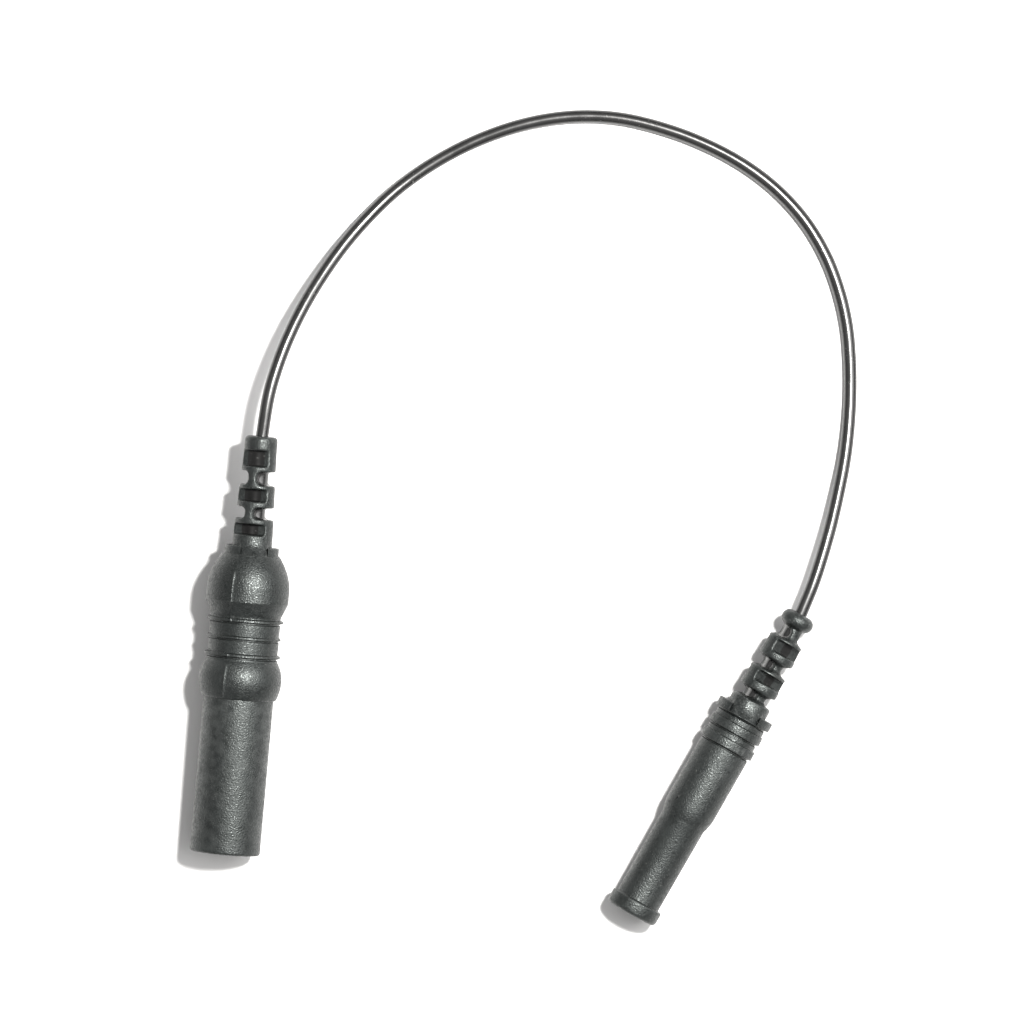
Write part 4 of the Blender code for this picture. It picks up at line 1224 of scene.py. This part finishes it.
@dataclass
class Cord:
    """The free cord: straight out of the plug, down to the table, round, and up to the socket."""

    plug: Plug
    socket: Socket
    material: bpy.types.Material

    radius = 0.75
    route = (
        (-26.8, 31.9, 5.85),
        (-25.9, 35.2, 5.65),
        (-24.6, 38.7, 5.15),
        (-22.9, 42.3, 4.35),
        (-20.8, 45.9, 3.35),
        (-18.3, 49.5, 2.35),
        (-15.4, 52.9, 1.55),
        (-12.2, 56.0, 1.02),
        (-8.7, 58.6, 0.80),
        (-5.0, 60.75, 0.76),
        (-1.3, 62.4, 0.76),
        (2.4, 63.6, 0.76),
        (6.2, 64.35, 0.76),
        (10.0, 64.6, 0.76),
        (14.0, 64.3, 0.76),
        (18.3, 63.3, 0.76),
        (22.9, 61.65, 0.76),
        (27.4, 59.35, 0.76),
        (31.5, 56.35, 0.76),
        (34.9, 52.7, 0.76),
        (37.4, 48.6, 0.76),
        (39.0, 44.4, 0.76),
        (39.9, 40.4, 0.76),
        (40.25, 36.5, 0.76),
        (40.3, 32.7, 0.80),
        (40.1, 28.9, 0.98),
        (39.65, 25.05, 1.40),
        (38.9, 21.2, 2.02),
        (38.0, 17.35, 2.66),
        (36.95, 13.7, 3.18),
        (35.85, 10.4, 3.48),
    )

    def path(self) -> list[Vector]:
        """Points on a smooth curve through the route, from one relief's face to the other's."""
        start = self.plug.lay.at(self.plug.relief_top - CORD_INSET)
        end = self.socket.lay.at(self.socket.relief_top - CORD_INSET)
        stops = [start, *[Vector(point) * MM for point in self.route], end]
        stops = [2 * stops[0] - stops[1], *stops, 2 * stops[-1] - stops[-2]]
        steps = 8
        curve = []
        for index in range(1, len(stops) - 2):
            a, b, c, d = stops[index - 1:index + 3]
            for step in range(steps):
                t = step / steps
                curve.append(
                    0.5 * (2 * b + (c - a) * t + (2 * a - 5 * b + 4 * c - d) * t * t
                           + (3 * b - a - 3 * c + d) * t * t * t)
                )
        return [*curve, stops[-2]]

    def build(self) -> bpy.types.Object:
        path = self.path()
        data = bpy.data.curves.new("Cord", "CURVE")
        data.dimensions = "3D"
        data.bevel_depth = self.radius * MM
        data.bevel_resolution = 8
        data.use_fill_caps = True
        spline = data.splines.new("POLY")
        spline.points.add(len(path) - 1)
        for point, place in zip(spline.points, path):
            point.co = (*place, 1.0)
        spline.use_smooth = True
        data.materials.append(self.material)
        cord = add_object("Cord", data)
        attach(cord, LEAD)
        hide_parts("cord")
        return cord


# Studio


@dataclass
class Studio:
    """A pale table, soft light from the upper right and a camera that looks straight down."""

    low: Vector
    high: Vector
    aim_shift: Slot = (-1.34, 0.6)
    distance: float = 1.3
    view_width: float = 117.9
    fill: float = 0.80
    key: float = 10.5
    soft: float = 3.2

    def camera(self) -> None:
        """The camera, square above the lead."""
        data = bpy.data.cameras.new("Camera")
        data.sensor_width = 36.0
        data.lens = data.sensor_width * self.distance / (self.view_width * MM)
        data.clip_start = 0.01
        data.clip_end = 20.0
        camera = add_object("Camera", data)
        middle = (self.low + self.high) / 2
        camera.location = (
            middle.x + self.aim_shift[0] * MM,
            middle.y + self.aim_shift[1] * MM,
            self.distance + 4.0 * MM,
        )
        bpy.context.scene.camera = camera

    def floor(self) -> None:
        """The table top."""
        start_clean()
        bpy.ops.mesh.primitive_plane_add(size=3.0, location=(0.0, 0.0, 0.0))
        floor = bpy.context.object
        floor.name = "Table"
        material = bpy.data.materials.new("White table")
        material.use_nodes = True
        shader = material.node_tree.nodes["Principled BSDF"]
        shader.inputs["Base Color"].default_value = (0.62, 0.62, 0.62, 1.0)
        shader.inputs["Roughness"].default_value = 0.8
        shader.inputs["Specular IOR Level"].default_value = 0.1
        floor.data.materials.append(material)
        floor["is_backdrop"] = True

    def lamp(self, name: str, place: Vector, size: Slot, power: float, colour: Colour) -> None:
        """A soft box that faces the lead."""
        data = bpy.data.lights.new(name, "AREA")
        data.shape = "RECTANGLE"
        data.size, data.size_y = size
        data.energy = power
        data.color = colour
        lamp = add_object(name, data)
        lamp.location = place
        lamp.rotation_euler = (Vector((0.0, 0.018, 0.0)) - place).to_track_quat("-Z", "Y").to_euler()

    def surround(self) -> None:
        """A pale surround, brightest overhead."""
        world = bpy.data.worlds.new("Surround")
        bpy.context.scene.world = world
        world.use_nodes = True
        sheet = Sheet(world.node_tree)
        background = world.node_tree.nodes["Background"]
        where = sheet.add("ShaderNodeTexCoord")
        split = sheet.add("ShaderNodeSeparateXYZ")
        sheet.join(where.outputs["Generated"], split.inputs[0])
        height = sheet.ramp(split.outputs["Z"], 0.0, 0.8)
        tone = sheet.blend(height, (0.2, 0.2, 0.2), (1.0, 0.99, 0.98))
        sheet.join(tone, background.inputs["Color"])
        background.inputs["Strength"].default_value = self.fill

    def light(self) -> None:
        """Key light from the upper right, a soft box further over, and the surround."""
        self.surround()
        key_place, soft_place = Vector((0.18, 0.14, 0.60)), Vector((0.42, 0.10, 0.55))
        self.lamp("Key", key_place, (0.06, 0.06), self.key, (1.0, 0.985, 0.96))
        self.lamp("Soft box", soft_place, (0.4, 0.6), self.soft, (1.0, 0.99, 0.98))

    def build(self) -> None:
        """Set the whole studio."""
        self.camera()
        self.floor()
        self.light()
        bpy.context.scene.view_settings.view_transform = "Standard"


def dress_hidden(nodes: dict[str, bpy.types.Object], finishes: dict[str, bpy.types.Material]) -> None:
    """Give the CAD nodes that stay their materials."""
    wanted = {
        "plug_inner_mould": "nylon",
        "socket_inner_mould": "nylon",
        "plug_conductor": "copper",
        "socket_conductor": "copper",
    }
    for name, key in wanted.items():
        slots = nodes[name].data.materials
        slots.clear()
        slots.append(finishes[key])
        LOG.info("%s: dressed", name)


def make_finishes(plug_lay: Lay, socket_lay: Lay) -> dict[str, bpy.types.Material]:
    """Make every material.

    Args:
        plug_lay: Where the plug lies, for the rings on its metal.
        socket_lay: Where the socket lies, for the rings on its metal.

    Returns:
        The materials by their keys.
    """
    groups = Groups(grain_group(), handling_group(), lathe_group())
    nickel, dull = (0.66, 0.62, 0.55), (0.50, 0.47, 0.42)
    ring_mm = 0.06
    finishes = {
        "shell": Moulded("Black hard plastic", (0.0055, 0.0064, 0.0064), (0.05, 0.053, 0.052)),
        "moulding": Moulded("Black moulding", (0.0058, 0.0067, 0.0067), (0.06, 0.063, 0.062)),
        # Painted shade: a darker, less shiny black than the moulding, for the floors of the relief pockets.
        "painted_shade_recess": Jacket("Black recess painted shade", (0.0020,) * 3, (0.0035,) * 3, rough=0.50, specular=0.25),
        "sleeve": Jacket("Black sleeve", (0.0035,) * 3, (0.0060,) * 3, rough=0.22, specular=0.8),
        "jacket": Jacket("Black cord jacket", (0.0020,) * 3, (0.0035,) * 3, rough=0.24, specular=0.8),
        "plug_nickel": TurnedMetal("Plug nickel", nickel, dull, 0.2, ring_mm, plug_lay.unturned),
        "socket_nickel": TurnedMetal("Socket nickel", nickel, dull, 0.2, ring_mm, socket_lay.unturned),
        "spring": TurnedMetal("Spring nickel", (0.68, 0.62, 0.52), dull, 0.24, 0.11, plug_lay.unturned),
        "copper": TurnedMetal(
            "Copper strands", (0.74, 0.40, 0.25), (0.55, 0.28, 0.17), 0.3, 0.3, plug_lay.unturned
        ),
        "nylon": Nylon("Natural nylon", (0.66, 0.62, 0.53), (0.55, 0.51, 0.43), 0.42),
    }
    return {key: finish.build(groups) for key, finish in finishes.items()}


def main() -> None:
    """Build the lead round its frame and measure it."""
    logging.basicConfig(level=logging.INFO, format="%(message)s")
    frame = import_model()
    low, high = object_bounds()
    Studio(Vector(low), Vector(high)).build()
    mounts = {mount["name"]: mount for mount in frame["record"]["mounts"]}
    plug_lay = Lay.of(mounts["plug_mouth"], "plug_cord_end")
    socket_lay = Lay.of(mounts["socket_front"], "socket_cord_end")
    finishes = make_finishes(plug_lay, socket_lay)
    plug = Plug(plug_lay, finishes)
    socket = Socket(socket_lay, finishes)
    Cord(plug, socket, finishes["jacket"]).build()
    plug.build()
    socket.build()
    dress_hidden(frame["nodes"], finishes)


if __name__ == "__main__":
    main()
